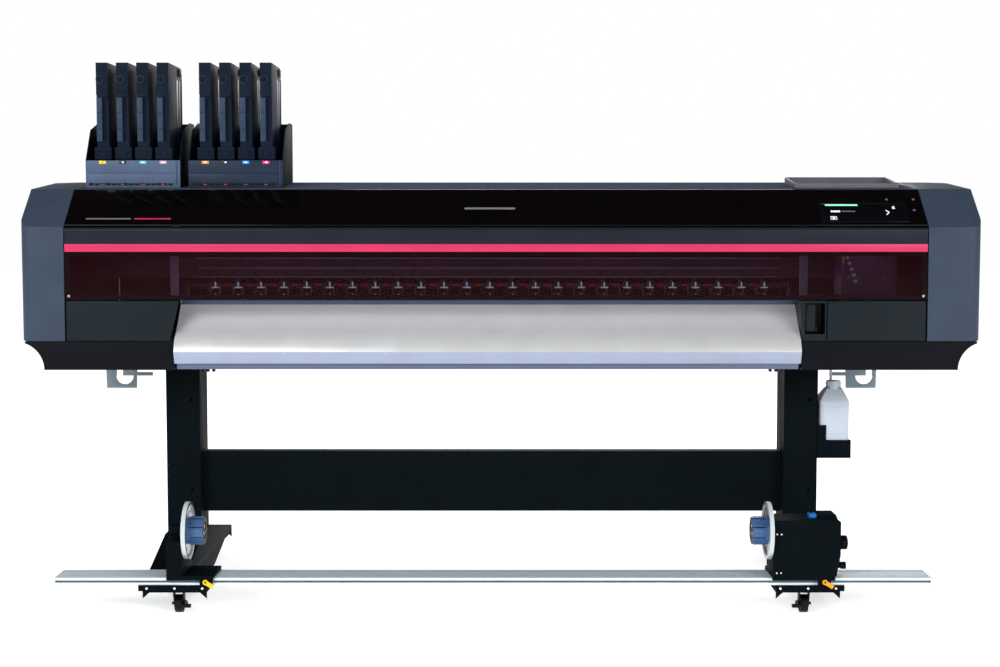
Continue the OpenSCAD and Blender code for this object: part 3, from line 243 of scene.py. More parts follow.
NODE_MATERIAL = {
    "side_cover_left": "cover", "side_cover_right": "cover", "top_cover": "top", "rear_cover": "under",
    "lower_cover_left": "under", "lower_cover_right": "under", "cover_frame": "band",
    "top_panel": "gloss", "cover_stripe": "stripe", "cover_window": "window", "door_left": "door",
    "door_right": "door", "media_lever": "door", "tool_tray": "tray", "apron": "apron",
    "platen": "platen", "grit_roller": "steel", "pinch_arms": "arm", "pinch_rollers": "rubber",
    "carriage_beam": "beam", "carriage": "carriage", "drive_belt": "belt", "capping_station": "black",
    "chassis": "chassis", "leg_left": "stand", "leg_right": "stand", "cross_beam": "stand",
    "foot_left": "stand", "foot_right": "stand", "idler_unit": "stand", "motor_unit": "stand",
    "ink_bay_left": "bay_wall", "ink_bay_right": "bay_wall", "touch_screen": "screen",
    "takeup_rail": "rail", "idler_flange": "flange", "motor_flange": "flange",
    "clamp_lever_left": "yellow", "clamp_lever_right": "orange", "takeup_switch": "blue",
    "waste_bottle": "bottle", "media_hooks": "hook", "brake_pedal_left": "caster",
    "brake_pedal_right": "caster",
}
for pack in PACKS:
    NODE_MATERIAL[pack] = "pack"
NODE_MATERIAL["platen_ribs"] = "platen"
for corner in CORNERS:
    NODE_MATERIAL[f"caster_fork_{corner}"] = "caster"
    NODE_MATERIAL[f"caster_wheel_{corner}"] = "caster"


# ---- Mesh helpers ----


def piece(name, mesh, material, body, smooth=35):
    """Links a mesh as a piece that rides on a body; a mesh with materials of its own keeps them."""
    if not mesh.materials:
        mesh.materials.append(MAT[material])
    made = bpy.data.objects.new(name, mesh)
    bpy.context.scene.collection.objects.link(made)
    for polygon in mesh.polygons:
        polygon.use_smooth = True
    mesh.set_sharp_from_angle(angle=math.radians(smooth))
    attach(made, body)
    return made


def mesh_of(name, build):
    """A mesh filled by build(bm)."""
    bm = bmesh.new()
    build(bm)
    bmesh.ops.recalc_face_normals(bm, faces=bm.faces)
    mesh = bpy.data.meshes.new(name)
    bm.to_mesh(mesh)
    bm.free()
    return mesh


def add_block(bm, low, high, edge=0.0, turn=None):
    """A block with softened edges between two corners, turned about its middle by a matrix."""
    low, high = Vector(low), Vector(high)
    middle, size = (low + high) / 2, high - low
    made = bmesh.ops.create_cube(bm, size=1.0)["verts"]
    for vert in made:
        vert.co = Vector([vert.co[i] * size[i] for i in range(3)])
    if edge > 0:
        edges = list({e for v in made for e in v.link_edges})
        made = bmesh.ops.bevel(bm, geom=edges, offset=edge, segments=2, profile=0.5, affect="EDGES")["verts"]
    for vert in set(made):
        if turn is not None:
            vert.co = turn @ vert.co
        vert.co += middle


def add_lathe(bm, centre, axis, outline, steps=40):
    """A solid of revolution: outline is [(distance along the axis, radius)]; a radius of 0 closes it."""
    axis = Vector(axis).normalized()
    side = axis.orthogonal().normalized()
    across = axis.cross(side)
    rings = []
    for along, radius in outline:
        base = Vector(centre) + axis * along
        if radius <= 0:
            rings.append([bm.verts.new(base)])
            continue
        angles = [2 * math.pi * k / steps for k in range(steps)]
        rings.append([bm.verts.new(base + radius * (math.cos(t) * side + math.sin(t) * across))
                      for t in angles])
    for first, second in zip(rings, rings[1:]):
        for k in range(steps):
            a, b = first[k % len(first)], first[(k + 1) % len(first)]
            c, d = second[(k + 1) % len(second)], second[k % len(second)]
            corners = list(dict.fromkeys([a, b, c, d]))
            if len(corners) > 2:
                bm.faces.new(corners)


def add_prism(bm, outline, to_point, depth):
    """An outline of 2D points, placed by to_point(u, v, w), run from w = 0 to depth."""
    near = [bm.verts.new(to_point(u, v, 0)) for u, v in outline]
    far = [bm.verts.new(to_point(u, v, depth)) for u, v in outline]
    bm.faces.new(near)
    bm.faces.new(list(reversed(far)))
    for k in range(len(outline)):
        m = (k + 1) % len(outline)
        bm.faces.new([near[k], far[k], far[m], near[m]])


def add_screw(bm, at, normal, radius):
    """A pan-head screw with a cross recess standing on a face."""
    n = Vector(normal).normalized()
    rise = radius * 0.45
    add_lathe(bm, at, n, [(0, radius), (rise * 0.6, radius * 0.96), (rise, radius * 0.62), (rise, 0)],
              steps=20)
    side = n.orthogonal().normalized()
    for arm in (side, n.cross(side)):
        other = n.cross(arm)
        corners = [(-0.5, -0.09), (0.5, -0.09), (0.5, 0.09), (-0.5, 0.09)]
        add_prism(bm, corners, lambda u, v, w: Vector(at) + radius * (u * arm + v * other) + n * (rise + w),
                  0.0001)


def blocks(name, boxes, material, node, edge=0.0005):
    """One piece made of softened blocks, each (low, high), on the body of a node."""

    def build(bm):
        for low, high in boxes:
            add_block(bm, low, high, edge)

    return piece(name, mesh_of(name, build), material, BODY_OF[node])


def screws(name, places, normal, radius, node, material="steel"):
    """One piece made of screws on the body of a node."""

    def build(bm):
        for at in places:
            add_screw(bm, at, normal, radius)

    return piece(name, mesh_of(name, build), material, BODY_OF[node])


def paint(mesh, node, rules):
    """Gives faces a material by the first rule (material, test of centre and normal) that holds."""
    for material in [NODE_MATERIAL[node]] + [rule[0] for rule in rules]:
        mesh.materials.append(MAT[material])
    for polygon in mesh.polygons:
        hits = [i for i, rule in enumerate(rules) if rule[1](polygon.center, polygon.normal)]
        polygon.material_index = hits[0] + 1 if hits else 0


def rounded(node, width, rules=(), segments=2):
    """Stands for a CAD node with the same shape and softened edges."""
    source = NODES[node]
    bm = bmesh.new()
    bm.from_mesh(source.data)
    bmesh.ops.remove_doubles(bm, verts=bm.verts, dist=1e-6)
    bmesh.ops.dissolve_limit(bm, angle_limit=math.radians(1.0), verts=bm.verts, edges=bm.edges)
    sharp = [e for e in bm.edges if len(e.link_faces) == 2 and e.calc_face_angle(0) > math.radians(32)]
    bmesh.ops.bevel(bm, geom=sharp, offset=width, segments=segments, profile=0.6, affect="EDGES",
                    clamp_overlap=True, harden_normals=False)
    edge_low, edge_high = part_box(node)
    for vert in bm.verts:
        vert.co = [min(max(v, a), b) for v, a, b in zip(vert.co, edge_low, edge_high)]
    mesh = bpy.data.meshes.new(f"{node}_shell")
    bm.to_mesh(mesh)
    bm.free()
    paint(mesh, node, rules)
    made = piece(f"{node}_shell", mesh, NODE_MATERIAL[node], BODY_OF[node], smooth=40)
    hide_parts(node)
    return made


# ---- Places read from the frame ----


def low(node):
    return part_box(node)[0]


def high(node):
    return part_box(node)[1]


def middle(node):
    a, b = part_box(node)
    return [(a[i] + b[i]) / 2 for i in range(3)]


FRONT = low("side_cover_left")[1]
SLOPE_Z = 1.081
SLOPE = math.radians(40.4)
SPAN_L, SPAN_R = low("top_panel")[0], high("top_panel")[0]
CORE_Y, CORE_Z = middle("idler_flange")[1], middle("idler_flange")[2]
CHUCK_R = 0.038


def on_slope(x, up, out):
    """A point on the sloping panel: up the slope and out of it."""
    return Vector((x, FRONT + up * math.cos(SLOPE) - out * math.sin(SLOPE),
                   SLOPE_Z + up * math.sin(SLOPE) + out * math.cos(SLOPE)))


def from_axis(centre):
    """Distance of a point from the take-up axis."""
    return math.hypot(centre.y - CORE_Y, centre.z - CORE_Z)


# ---- CAD nodes with their materials ----


def pack_rules(node):
    x = middle(node)[0]
    y = low(node)[1]
    return [("pack_label", lambda c, n: n.y < -0.5 and x - 0.018 < c.x < x and 1.329 < c.z < 1.4575
             and c.y < y + 0.0085)]


def flange_rules(node, face_sign):
    end = high(node)[0] if face_sign > 0 else low(node)[0]
    return [
        ("flange", lambda c, n: from_axis(c) > CHUCK_R + 0.0005),
        ("chuck_end", lambda c, n: abs(c.x - end) < 0.008 and from_axis(c) < CHUCK_R - 0.011),
        ("chuck_end", lambda c, n: abs(n.x) > 0.9 and abs(c.x - end) < 0.002),
        # Groove faces below the chuck's surface in dark blue: painted shade.
        ("chuck_dark", lambda c, n: from_axis(c) < CHUCK_R - 0.001 and from_axis(c) > 0.012),
        ("steel", lambda c, n: from_axis(c) < 0.012),
        ("chuck", lambda c, n: True),
    ]


def bay_rules(node, material):
    y, top = low(node)[1], 1.2745
    return [(material, lambda c, n: n.y < -0.7 and c.y < y + 0.002 and c.z < top)]


RAIL_L, RAIL_R = low("takeup_rail")[0], high("takeup_rail")[0]
BOTTLE_NECK = 0.5975
UNIT_EDGE = low("idler_unit")[0]
HOUSING_L, HOUSING_R = high("apron")[0] + 0.003, low("door_right")[0] - 0.001
RULES = {
    "chassis": [
        ("black", lambda c, n: HOUSING_L < c.x < HOUSING_R and 0.752 < c.z < 0.874
         and FRONT + 0.006 < c.y < -0.2),
        ("door", lambda c, n: HOUSING_L < c.x < HOUSING_R and 0.752 < c.z < 0.874 and c.y < -0.2),
        # Chassis faces behind the window in a lighter violet: painted light.
        ("post", lambda c, n: 0.88 < c.z < 1.08 and c.y < -0.2),
    ],
    "takeup_rail": [
        ("black", lambda c, n: c.x < RAIL_L + 0.0045 or c.x > RAIL_R - 0.0045),
        # Groove floors, groove walls and set-back faces darker: painted shade.
        ("rail_groove_shaded", lambda c, n: (n.z > 0.7 and c.z < high("takeup_rail")[2] - 0.003)
         or (n.y < -0.7 and c.y > low("takeup_rail")[1] + 0.003) or (abs(n.y) > 0.7
         and low("takeup_rail")[1] + 0.003 < c.y < high("takeup_rail")[1] - 0.003)),
    ],
    "media_hooks": [("stand", lambda c, n: 0.85 < c.x < 1.05 and c.z < 0.565 and c.y < 0.1)],
    "waste_bottle": [("bottle_cap", lambda c, n: c.z > BOTTLE_NECK)],
    "idler_flange": flange_rules("idler_flange", 1),
    "motor_flange": flange_rules("motor_flange", -1),
    "ink_bay_left": bay_rules("ink_bay_left", "bay_front"),
    "ink_bay_right": bay_rules("ink_bay_right", "bay_front_dark"),
    "idler_unit": [("steel", lambda c, n: n.x < -0.9 and c.z > CORE_Z - 0.019 and c.x < UNIT_EDGE + 0.006)],
    "apron": [
        ("lip", lambda c, n: c.z < 0.6938),
        # Down-facing lower facet in the darker bluish silver: painted shade.
        ("apron_low", lambda c, n: c.z < 0.7285 and n.y < -0.5 and n.z < 0),
    ],
}
for pack in PACKS:
    RULES[pack] = pack_rules(pack)
SOFT_EDGES = {
    "side_cover_left": 2.5, "side_cover_right": 2.5, "top_panel": 1.2, "door_left": 1.5, "door_right": 1.5,
    "tool_tray": 1.5, "leg_left": 2.0, "leg_right": 2.0, "foot_left": 1.0, "foot_right": 1.0,
    "idler_unit": 1.2, "motor_unit": 1.0, "cover_frame": 0.8, "cover_stripe": 0.8, "media_lever": 1.5,
    "touch_screen": 0.4, "takeup_rail": 0.5, "waste_bottle": 3.0, "carriage": 2.0, "lower_cover_left": 1.2,
    "lower_cover_right": 1.2, "clamp_lever_left": 1.2, "clamp_lever_right": 1.2, "takeup_switch": 1.2,
    "idler_flange": 1.0, "motor_flange": 1.0, "ink_bay_left": 0.8, "ink_bay_right": 0.8, "apron": 0.4,
    "media_hooks": 0.6, "chassis": 0.3,
}
for pack in PACKS:
    SOFT_EDGES[pack] = 1.2
for corner in CORNERS:
    SOFT_EDGES[f"caster_wheel_{corner}"] = 1.5
    SOFT_EDGES[f"caster_fork_{corner}"] = 0.5


def dress_nodes():
    for node, obj in NODES.items():
        obj.data.materials.clear()
        obj.data.materials.append(MAT[NODE_MATERIAL[node]])
    for node, width in SOFT_EDGES.items():
        rounded(node, width * MM, RULES.get(node, ()))


dress_nodes()


# ---- Ink supply details ----


def pack_details(node):
    x, y = middle(node)[0], low(node)[1] + 0.004
    top, rear = high(node)[2], high(node)[1]
    half = 0.017

    def knob(bm):
        at = (x - 0.005, y - 0.004, top - 0.049)
        rings = [(0, 0.0118), (0.0012, 0.0118), (0.0012, 0.0095), (0.0004, 0.009), (0.0004, 0.006),
                 (0.0016, 0.0052), (0.0016, 0)]
        add_lathe(bm, at, (0, -1, 0), rings, steps=28)
        for k in range(12):
            turn = Matrix.Rotation(math.radians(30 * k), 3, "Y")
            spoke = Vector(at) + turn @ Vector((0.0078, 0, 0))
            add_block(bm, spoke - Vector((0.0016, 0.001, 0.0005)), spoke + Vector((0.0016, 0.0002, 0.0005)),
                      0.0002, turn)

    def rim(bm):
        add_lathe(bm, (x - 0.005, y - 0.004, top - 0.049), (0, -1, 0),
                  [(0, 0.0102), (0.0018, 0.0104), (0.0018, 0.0116), (0, 0.0118)], steps=28)

    piece(f"{node}_knob", mesh_of("knob", knob), "pack_dark", BODY_OF[node])
    piece(f"{node}_knob_rim", mesh_of("rim", rim), "pack_label", BODY_OF[node])
    blocks(f"{node}_neck", [((x - half + 0.001, y + 0.001, 1.4565), (x + half - 0.001, y + 0.004, 1.4635))],
           "pack_dark", node, 0.0005)
    ridges = [((x - half + 0.001, y - 0.0008, top - 0.020 - 0.004 * k),
               (x + half - 0.001, y + 0.0005, top - 0.0185 - 0.004 * k)) for k in range(3)]
    ridges += [((x + 0.004, y - 0.0008, top - 0.088 + 0.006 * k),
                (x + half - 0.002, y + 0.0005, top - 0.0855 + 0.006 * k)) for k in range(3)]
    # Frame of the label window, with two clips
    ridges += [((x - 0.0008, y + 0.0005, 1.331), (x + 0.0012, y + 0.0035, 1.456)),
               ((x + 0.006, y + 0.002, 1.331), (x + 0.0075, y + 0.0065, 1.456)),
               ((x - half + 0.001, y + 0.0012, 1.364), (x - 0.002, y + 0.0028, 1.3655)),
               ((x - half + 0.001, y + 0.0012, 1.413), (x - 0.002, y + 0.0028, 1.4145))]
    # Collar: stepped rim, side grips and a latch
    collar = [((x - 0.0236, y - 0.0012, 1.2775 + 0.0075 * k), (x + 0.0236, y + 0.001, 1.2795 + 0.0075 * k))
              for k in range(4)]
    collar += [((x - 0.008, y - 0.0022, 1.284), (x + 0.008, y, 1.303))]
    # Lug and strips at the back
    collar += [((x + half - 0.001, rear - 0.060, top - 0.026),
                (x + half + 0.0035, rear - 0.022, top - 0.006)),
               ((x + half - 0.001, rear - 0.018, 1.30), (x + half + 0.0016, rear - 0.006, top - 0.035))]
    blocks(f"{node}_ridges", ridges, "pack", node, 0.0003)
    blocks(f"{node}_collar", collar, "pack", node, 0.0005)
    # Lighter blue strips on each pack's side: painted reflection.
    strips = [((x + half, rear - 0.085, 1.31), (x + half + 0.0009, rear - 0.068, top - 0.04)),
              ((x + half, rear - 0.045, 1.31), (x + half + 0.0009, rear - 0.033, top - 0.04))]
    blocks(f"{node}_side_strips", strips, "pack_side", node, 0.0002)


TAGS = ["ink_yellow", "ink_black", "ink_cyan", "ink_magenta", "ink_orange", "ink_black", "ink_blue",
        "ink_pink"]


def bay_details():
    front = low("ink_bay_left")[1]
    top = 1.2742
    for bay, packs in (("ink_bay_left", PACKS[:4]), ("ink_bay_right", PACKS[4:])):
        x0, x1 = low(bay)[0], high(bay)[0]
        base = 1.2015
        fascia = [((x0 + 0.003, front - 0.0022, base + 0.036), (x1 - 0.012, front + 0.0005, top - 0.001)),
                  ((x0 + 0.0022, front - 0.0022, base + 0.006), (x1 - 0.012, front + 0.0005, base + 0.0345))]
        blocks(f"{bay}_fascia", fascia, RULES[bay][0][0], bay, 0.0007)
        blocks(f"{bay}_fascia_edge", [((x1 - 0.0105, front - 0.0016, base + 0.004),
                                       (x1 - 0.0085, front + 0.0005, top - 0.002))], "pack_side", bay, 0.0005)
        teeth = [((x0 + 0.010 + 0.0165 * k, front - 0.0028, base + 0.0005),
                  (x0 + 0.0225 + 0.0165 * k, front + 0.0005, base + 0.0055 + 0.0018 * (k % 3 == 0)))
                 for k in range(15)]
        blocks(f"{bay}_foot_clips", teeth, "black", bay, 0.0004)
        marks = [((x - 0.012, front - 0.0032, base + 0.0012), (x - 0.002, front - 0.002, base + 0.0038))
                 for x in [middle(pack)[0] + 0.006 for pack in packs]]
        blocks(f"{bay}_marks", marks, "red", bay, 0.0003)
        for pack in packs:
            x = middle(pack)[0]
            ink = TAGS[PACKS.index(pack)]
            blocks(f"{pack}_tag", [((x - 0.010, front - 0.0034, top - 0.010),
                                    (x + 0.010, front - 0.0018, top - 0.0015))],
                   ink, bay, 0.0006)
            blocks(f"{pack}_tag_dot", [((x - 0.003, front - 0.0040, top - 0.0075),
                                        (x + 0.004, front - 0.0032, top - 0.004))],
                   "white" if ink != "ink_yellow" else "ink_orange", bay, 0.0003)


for pack in PACKS:
    pack_details(pack)
bay_details()


# ---- Control panel ----


def panel_marks():
    screen_l, screen_r = low("touch_screen")[0], high("touch_screen")[0]
    wide = screen_r - screen_l
    base, tall = 0.021, 0.088

    def slab(bm, u0, u1, v0, v1, out=0.0010, thick=0.0004):
        """A thin raised mark; u runs across the screen and v down it, both from 0 to 1."""
        x0, x1 = screen_l + u0 * wide, screen_l + u1 * wide
        s0, s1 = base + (1 - v1) * tall, base + (1 - v0) * tall
        outline = [(x0, s0), (x1, s0), (x1, s1), (x0, s1)]
        add_prism(bm, outline, lambda u, v, w: on_slope(u, v, out + w), thick)

    def strokes(bm, points, width):
        for (u0, v0), (u1, v1) in zip(points, points[1:]):
            a = Vector((screen_l + u0 * wide, base + (1 - v0) * tall))
            b = Vector((screen_l + u1 * wide, base + (1 - v1) * tall))
            side = (b - a).normalized()
            side = Vector((-side.y, side.x)) * width / 2
            outline = [tuple(p) for p in (a - side, b - side, b + side, a + side)]
            add_prism(bm, outline, lambda u, v, w: on_slope(u, v, 0.0010 + w), 0.0004)

    def green(bm):
        slab(bm, 0.085, 0.45, 0.13, 0.20)

    def white(bm):
        for k in range(5):
            slab(bm, 0.135 + 0.022 * k, 0.150 + 0.022 * k, 0.44, 0.52)
        strokes(bm, [(0.12, 0.74), (0.185, 0.74), (0.185, 0.88), (0.12, 0.88), (0.12, 0.73)], 0.0012)
        slab(bm, 0.138, 0.168, 0.785, 0.84)
        strokes(bm, [(0.755, 0.42), (0.79, 0.53), (0.755, 0.64)], 0.0022)
        slab(bm, 0.838, 0.862, 0.235, 0.29)
        slab(bm, 0.832, 0.868, 0.32, 0.345)

    def grey(bm):
        for k in range(7):
            slab(bm, 0.26 + 0.022 * k, 0.275 + 0.022 * k, 0.45, 0.50)
        # A thin glowing outline round the screen's edge: painted highlight.
        strokes(bm, [(0.012, 0.02), (0.988, 0.02), (0.988, 0.975), (0.012, 0.975), (0.012, 0.02)], 0.0007)

    for name, build, material in (("screen_bar", green, "green_glow"), ("screen_icons", white, "white_glow"),
                                  ("screen_fine", grey, "grey_glow")):
        piece(name, mesh_of(name, build), material, "root")

    def plate(bm, x0, x1, s0, s1, thick):
        outline = [(x0, s0), (x1, s0), (x1, s1), (x0, s1)]
        add_prism(bm, outline, lambda u, v, w: on_slope(u, v, w - 0.0002), thick)

    def sensors(bm):
        for x, up in ((1.107, 0.121), (1.184, 0.121), (1.178, 0.073)):
            add_lathe(bm, on_slope(x, up, -0.0002), on_slope(0, 0, 1) - on_slope(0, 0, 0),
                      [(0, 0.0042), (0.0008, 0.0042), (0.0008, 0.003), (0.0003, 0.0026), (0.0003, 0)],
                      steps=24)

    def badge(bm):
        plate(bm, -0.104, 0.040, 0.077, 0.084, 0.0012)

    def name_bar(bm):
        plate(bm, -1.177, -1.050, 0.033, 0.0375, 0.0008)

    def name_tail(bm):
        plate(bm, -1.040, -0.936, 0.033, 0.0375, 0.0008)

    piece("panel_sensors", mesh_of("sensors", sensors), "tray", "root")
    piece("blank_badge", mesh_of("badge", badge), "badge", "root")
    piece("blank_bar_light", mesh_of("name_bar", name_bar), "badge", "root")
    piece("blank_bar_red", mesh_of("name_tail", name_tail), "stripe", "root")


panel_marks()


# ---- Inside the window ----


def interior():
    beam_y, beam_lo, beam_hi = low("carriage_beam")[1], 0.928, high("carriage_beam")[2]
    x0, x1 = low("apron")[0] + 0.02, high("apron")[0] - 0.02
    # Thin faintly glowing violet strips along the beam's top and bottom edges: painted highlights.
    lines = [((x0, beam_y + 0.008, beam_hi - 0.004), (x1, beam_y + 0.012, beam_hi - 0.001)),
             ((x0, beam_y + 0.0085, beam_lo + 0.002), (x1, beam_y + 0.012, beam_lo + 0.005))]
    blocks("beam_edge_painted_highlights", lines, "line_violet", "carriage_beam", 0.0004)
    # A lighter violet strip across the beam's face: painted highlight.
    blocks("beam_face_painted_highlight", [((x0, beam_y - 0.001, 0.9545), (x1, beam_y + 0.004, 0.9635))], "beam_face",
           "carriage_beam", 0.0006)
    rollers = sorted({round(v.co.x, 4) for v in NODES["pinch_rollers"].data.vertices})
    pitch, first, count = 0.0676, rollers[0] + 0.016, 25
    y = low("pinch_arms")[1]
    tabs, stems, between, hooks = [], [], [], []
    for k in range(count):
        x = first + pitch * k
        tab_x = x + 0.005
        tabs.append(((tab_x - 0.0112, y - 0.0012, 0.9), (tab_x + 0.0112, y + 0.002, 0.9036)))
        stems.append(((tab_x - 0.002, y - 0.0014, 0.9), (tab_x + 0.002, y + 0.002, 0.918)))
        hooks.append(((tab_x - 0.0018, y - 0.0016, 0.881), (tab_x + 0.0018, y + 0.002, 0.8835)))
        if k < count - 1:
            middle_x = tab_x + pitch / 2
            between.append(((middle_x - 0.009, y + 0.004, 0.9075), (middle_x + 0.009, y + 0.008, 0.9105)))
    # White tabs with a painted glow.
    blocks("pinch_tabs", tabs + stems + hooks, "tab_white", "pinch_arms", 0.0004)
    # Real red marks, with a painted glow.
    blocks("pinch_marks", between, "red_inside", "pinch_arms", 0.0004)
    # Thin violet lines along the platen, with a faint painted glow.
    strips = [((x0, -0.176, 0.8702), (x1, -0.172, 0.8712)), ((x0, -0.128, 0.8702), (x1, -0.126, 0.8710))]
    blocks("platen_lines", strips, "line_violet", "platen", 0.0002)


interior()


def carriage_details():
    a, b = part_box("carriage")
    front = [((a[0] + 0.012, a[1] - 0.0015, a[2] + 0.055), (b[0] - 0.030, a[1] + 0.001, b[2] - 0.012)),
             ((b[0] - 0.026, a[1] - 0.0012, a[2] + 0.04), (b[0] - 0.008, a[1] + 0.001, b[2] - 0.02))]
    blocks("carriage_front_panel", front, "carriage", "carriage", 0.0008)
    clips = [((a[0] + 0.006 + 0.006 * k, a[1] - 0.004, b[2] - 0.030 - 0.017 * k),
              (a[0] + 0.016 + 0.006 * k, a[1] + 0.001, b[2] - 0.020 - 0.017 * k)) for k in range(6)]
    blocks("carriage_clips", clips, "steel", "carriage", 0.0006)
    blocks("carriage_orange_strip", [((a[0] + 0.004, a[1] - 0.0028, b[2] - 0.060),
                                      (a[0] + 0.008, a[1] + 0.001, b[2] - 0.004))], "ink_orange", "carriage",
           0.0005)
    screws("carriage_screws", [(x, a[1] - 0.0015, z) for x in (a[0] + 0.02, b[0] - 0.036)
                               for z in (a[2] + 0.063, b[2] - 0.020)], (0, -1, 0), 0.003, "carriage")


carriage_details()


# ---- Body details ----


def body_details():
    media_l, media_r = low("apron")[0], high("apron")[0]
    # The facet leans back below its crease, so the screws lean with it
    lean = Vector((0, -0.035, -0.015)).normalized()
    span = media_r - media_l - 0.055
    places = [(media_l + 0.0275 + span * k / 6, -0.3032, 0.7245) for k in range(7)]
    screws("apron_screws", places, lean, 0.0028, "apron", "steel")
    rear = high("rear_cover")[1]
    places = [(SPAN_L + 0.03 + (SPAN_R - SPAN_L - 0.06) * k / 8, rear - 0.0003, z)
              for k in range(9) for z in (0.735, 1.195)]
    screws("rear_cover_screws", places, (0, 1, 0), 0.0045, "rear_cover")
    pins = [((x - 0.001, rear - 0.018, z - 0.003), (x + 0.001, rear - 0.004, z + 0.003))
             for x, z in ((1.0435, 0.793), (1.051, 0.796), (1.0585, 0.793))]
    blocks("power_inlet_pins", pins, "steel", "rear_cover", 0.0004)
    door_r = low("door_right")[0]
    blocks("door_grip", [((door_r + 0.004, FRONT - 0.0008, 0.864), (door_r + 0.05, FRONT + 0.002, 0.869))],
           "black", "door_right", 0.0004)
    dots = [(SPAN_L + 0.012, FRONT - 0.0003, 0.886), (SPAN_R - 0.012, FRONT - 0.0003, 0.886)]
    screws("window_screws", dots, (0, -1, 0), 0.0035, "cover_window", "steel")


body_details()


# ---- Stand and take-up details ----


def stand_details():
    for side in ("left", "right"):
        foot = f"foot_{side}"
        centre = -0.904 if side == "left" else 0.850
        lip = low("foot_left")[1] + 0.002
        places = [(centre + k * 0.077, lip - 0.002, 0.083) for k in (-1, 0, 1)]
        screws(f"{foot}_lip_screws", places, (0, -1, 0), 0.0034, foot, "white")
        column = -0.949 if side == "left" else 0.895
        places = [(column + dx, -0.0625, z) for dx in (-0.034, 0.034) for z in (0.182, 0.655)]
        screws(f"leg_{side}_screws", places, (0, -1, 0), 0.0045, f"leg_{side}", "stand")
        inner = 1 if side == "left" else -1
        edge = column + inner * 0.05
        clips = [((edge + inner * d - 0.004, -0.066, 0.650), (edge + inner * d + 0.004, -0.052, 0.664))
                 for d in (0.012, 0.026, 0.043)]
        blocks(f"leg_{side}_cable_clips", clips, "black", f"leg_{side}", 0.001)
    beam_x = [low("cross_beam")[0], high("cross_beam")[0]]
    places = [(x + s * 0.016, low("cross_beam")[1], z) for x,
              s in zip(beam_x, (1, -1)) for z in (0.25, 0.315, 0.38)]
    screws("cross_beam_screws", places, (0, -1, 0), 0.0045, "cross_beam", "stand")


stand_details()


def chuck_details(node, out):
    """Ribs, an end plate and a bolt circle; out is +1 when the chuck points to +X."""
    tip = high(node)[0] if out > 0 else low(node)[0]
    face = tip - out * 0.040

    def build_ribs(bm):
        for k in range(8):
            turn = Matrix.Rotation(math.radians(45 * k), 3, "X")
            for half in (-1, 1):
                at = Vector(((face + tip) / 2 - out * 0.001, CORE_Y, CORE_Z))
                at += turn @ Vector((0, half * 0.0058, 0.0372))
                size = Vector((0.017, 0.0046, 0.0016))
                add_block(bm, at - size, at + size, 0.0009, turn)

    def build_end(bm):
        add_lathe(bm, (tip - out * 0.004, CORE_Y, CORE_Z), (out, 0, 0),
                  [(0, 0.0255), (0.002, 0.0255), (0.002, 0.019), (0.0032, 0.018), (0.0032, 0.008),
                   (0.0046, 0.007),
                   (0.0046, 0)], steps=32)

    def build_mark(bm):
        tri = [(0.0, 0.0165), (0.0035, 0.0105), (-0.0035, 0.0105)]
        for k in range(3):
            turn = Matrix.Rotation(math.radians(120 * k), 3, "X")
            add_prism(bm, tri, lambda u, v, w: Vector((tip - out * 0.0008 + out * w, CORE_Y, CORE_Z))
                      + turn @ Vector((0, u, v)), 0.0005)

    def build_bolts(bm):
        for k in range(6):
            turn = Matrix.Rotation(math.radians(60 * k + 30), 3, "X")
            at = Vector((face - out * 0.005, CORE_Y, CORE_Z)) + turn @ Vector((0, 0, 0.054))
            add_screw(bm, at, (out, 0, 0), 0.004)

    piece(f"{node}_ribs", mesh_of("ribs", build_ribs), "chuck", BODY_OF[node])
    piece(f"{node}_end", mesh_of("end", build_end), "chuck_end", BODY_OF[node])
    piece(f"{node}_marks", mesh_of("marks", build_mark), "white", BODY_OF[node])
    piece(f"{node}_bolts", mesh_of("bolts", build_bolts), "steel", BODY_OF[node])


chuck_details("idler_flange", 1)
chuck_details("motor_flange", -1)


def unit_details():
    box_l, front, top = low("motor_unit")[0], -0.450, 0.274
    places = [(box_l + 0.010, front, z) for z in (0.236, 0.128)] + [(box_l + 0.022, front,
                                                                     z) for z in (0.236, 0.128)]
    screws("motor_unit_screws", places, (0, -1, 0), 0.0022, "motor_unit", "white")
    x = middle("takeup_switch")[0]
    blocks("motor_top_plate", [((x + 0.016, front + 0.046, top - 0.0004),
                                (x + 0.040, front + 0.078, top + 0.0012))],
           "plate_beige", "motor_unit", 0.0005)
    y, z, right = front + 0.050, 0.118 + 0.086, high("motor_unit")[0]

    def knob(bm):
        for k in range(14):
            turn = Matrix.Rotation(math.radians(360 / 14 * k), 3, "X")
            at = Vector((right - 0.009, y, z)) + turn @ Vector((0, 0, 0.0182))
            size = Vector((0.0085, 0.0022, 0.0014))
            add_block(bm, at - size, at + size, 0.0007, turn)
        add_lathe(bm, (right, y, z), (1, 0, 0), [(-0.001, 0.015), (0.0014, 0.0145), (0.0014, 0.006),
                                                 (0.003, 0.005),
                                                 (0.003, 0)], steps=28)

    piece("tension_knob_grip", mesh_of("tension_knob", knob), "caster", BODY_OF["motor_unit"])

    def rings(bm):
        for dy, dz, reach in ((0.046, 0.022, 0.020), (0.068, 0.024, 0.008)):
            for k in range(3):
                start = right - 0.026 + reach - 0.005 * k
                add_lathe(bm, (start, front + dy, 0.118 + dz), (1, 0, 0),
                          [(0, 0.0078), (0, 0.0102), (0.003, 0.0102), (0.003, 0.0078)], steps=24)

    piece("connector_rings", mesh_of("connector_rings", rings), "caster", BODY_OF["motor_unit"])


unit_details()


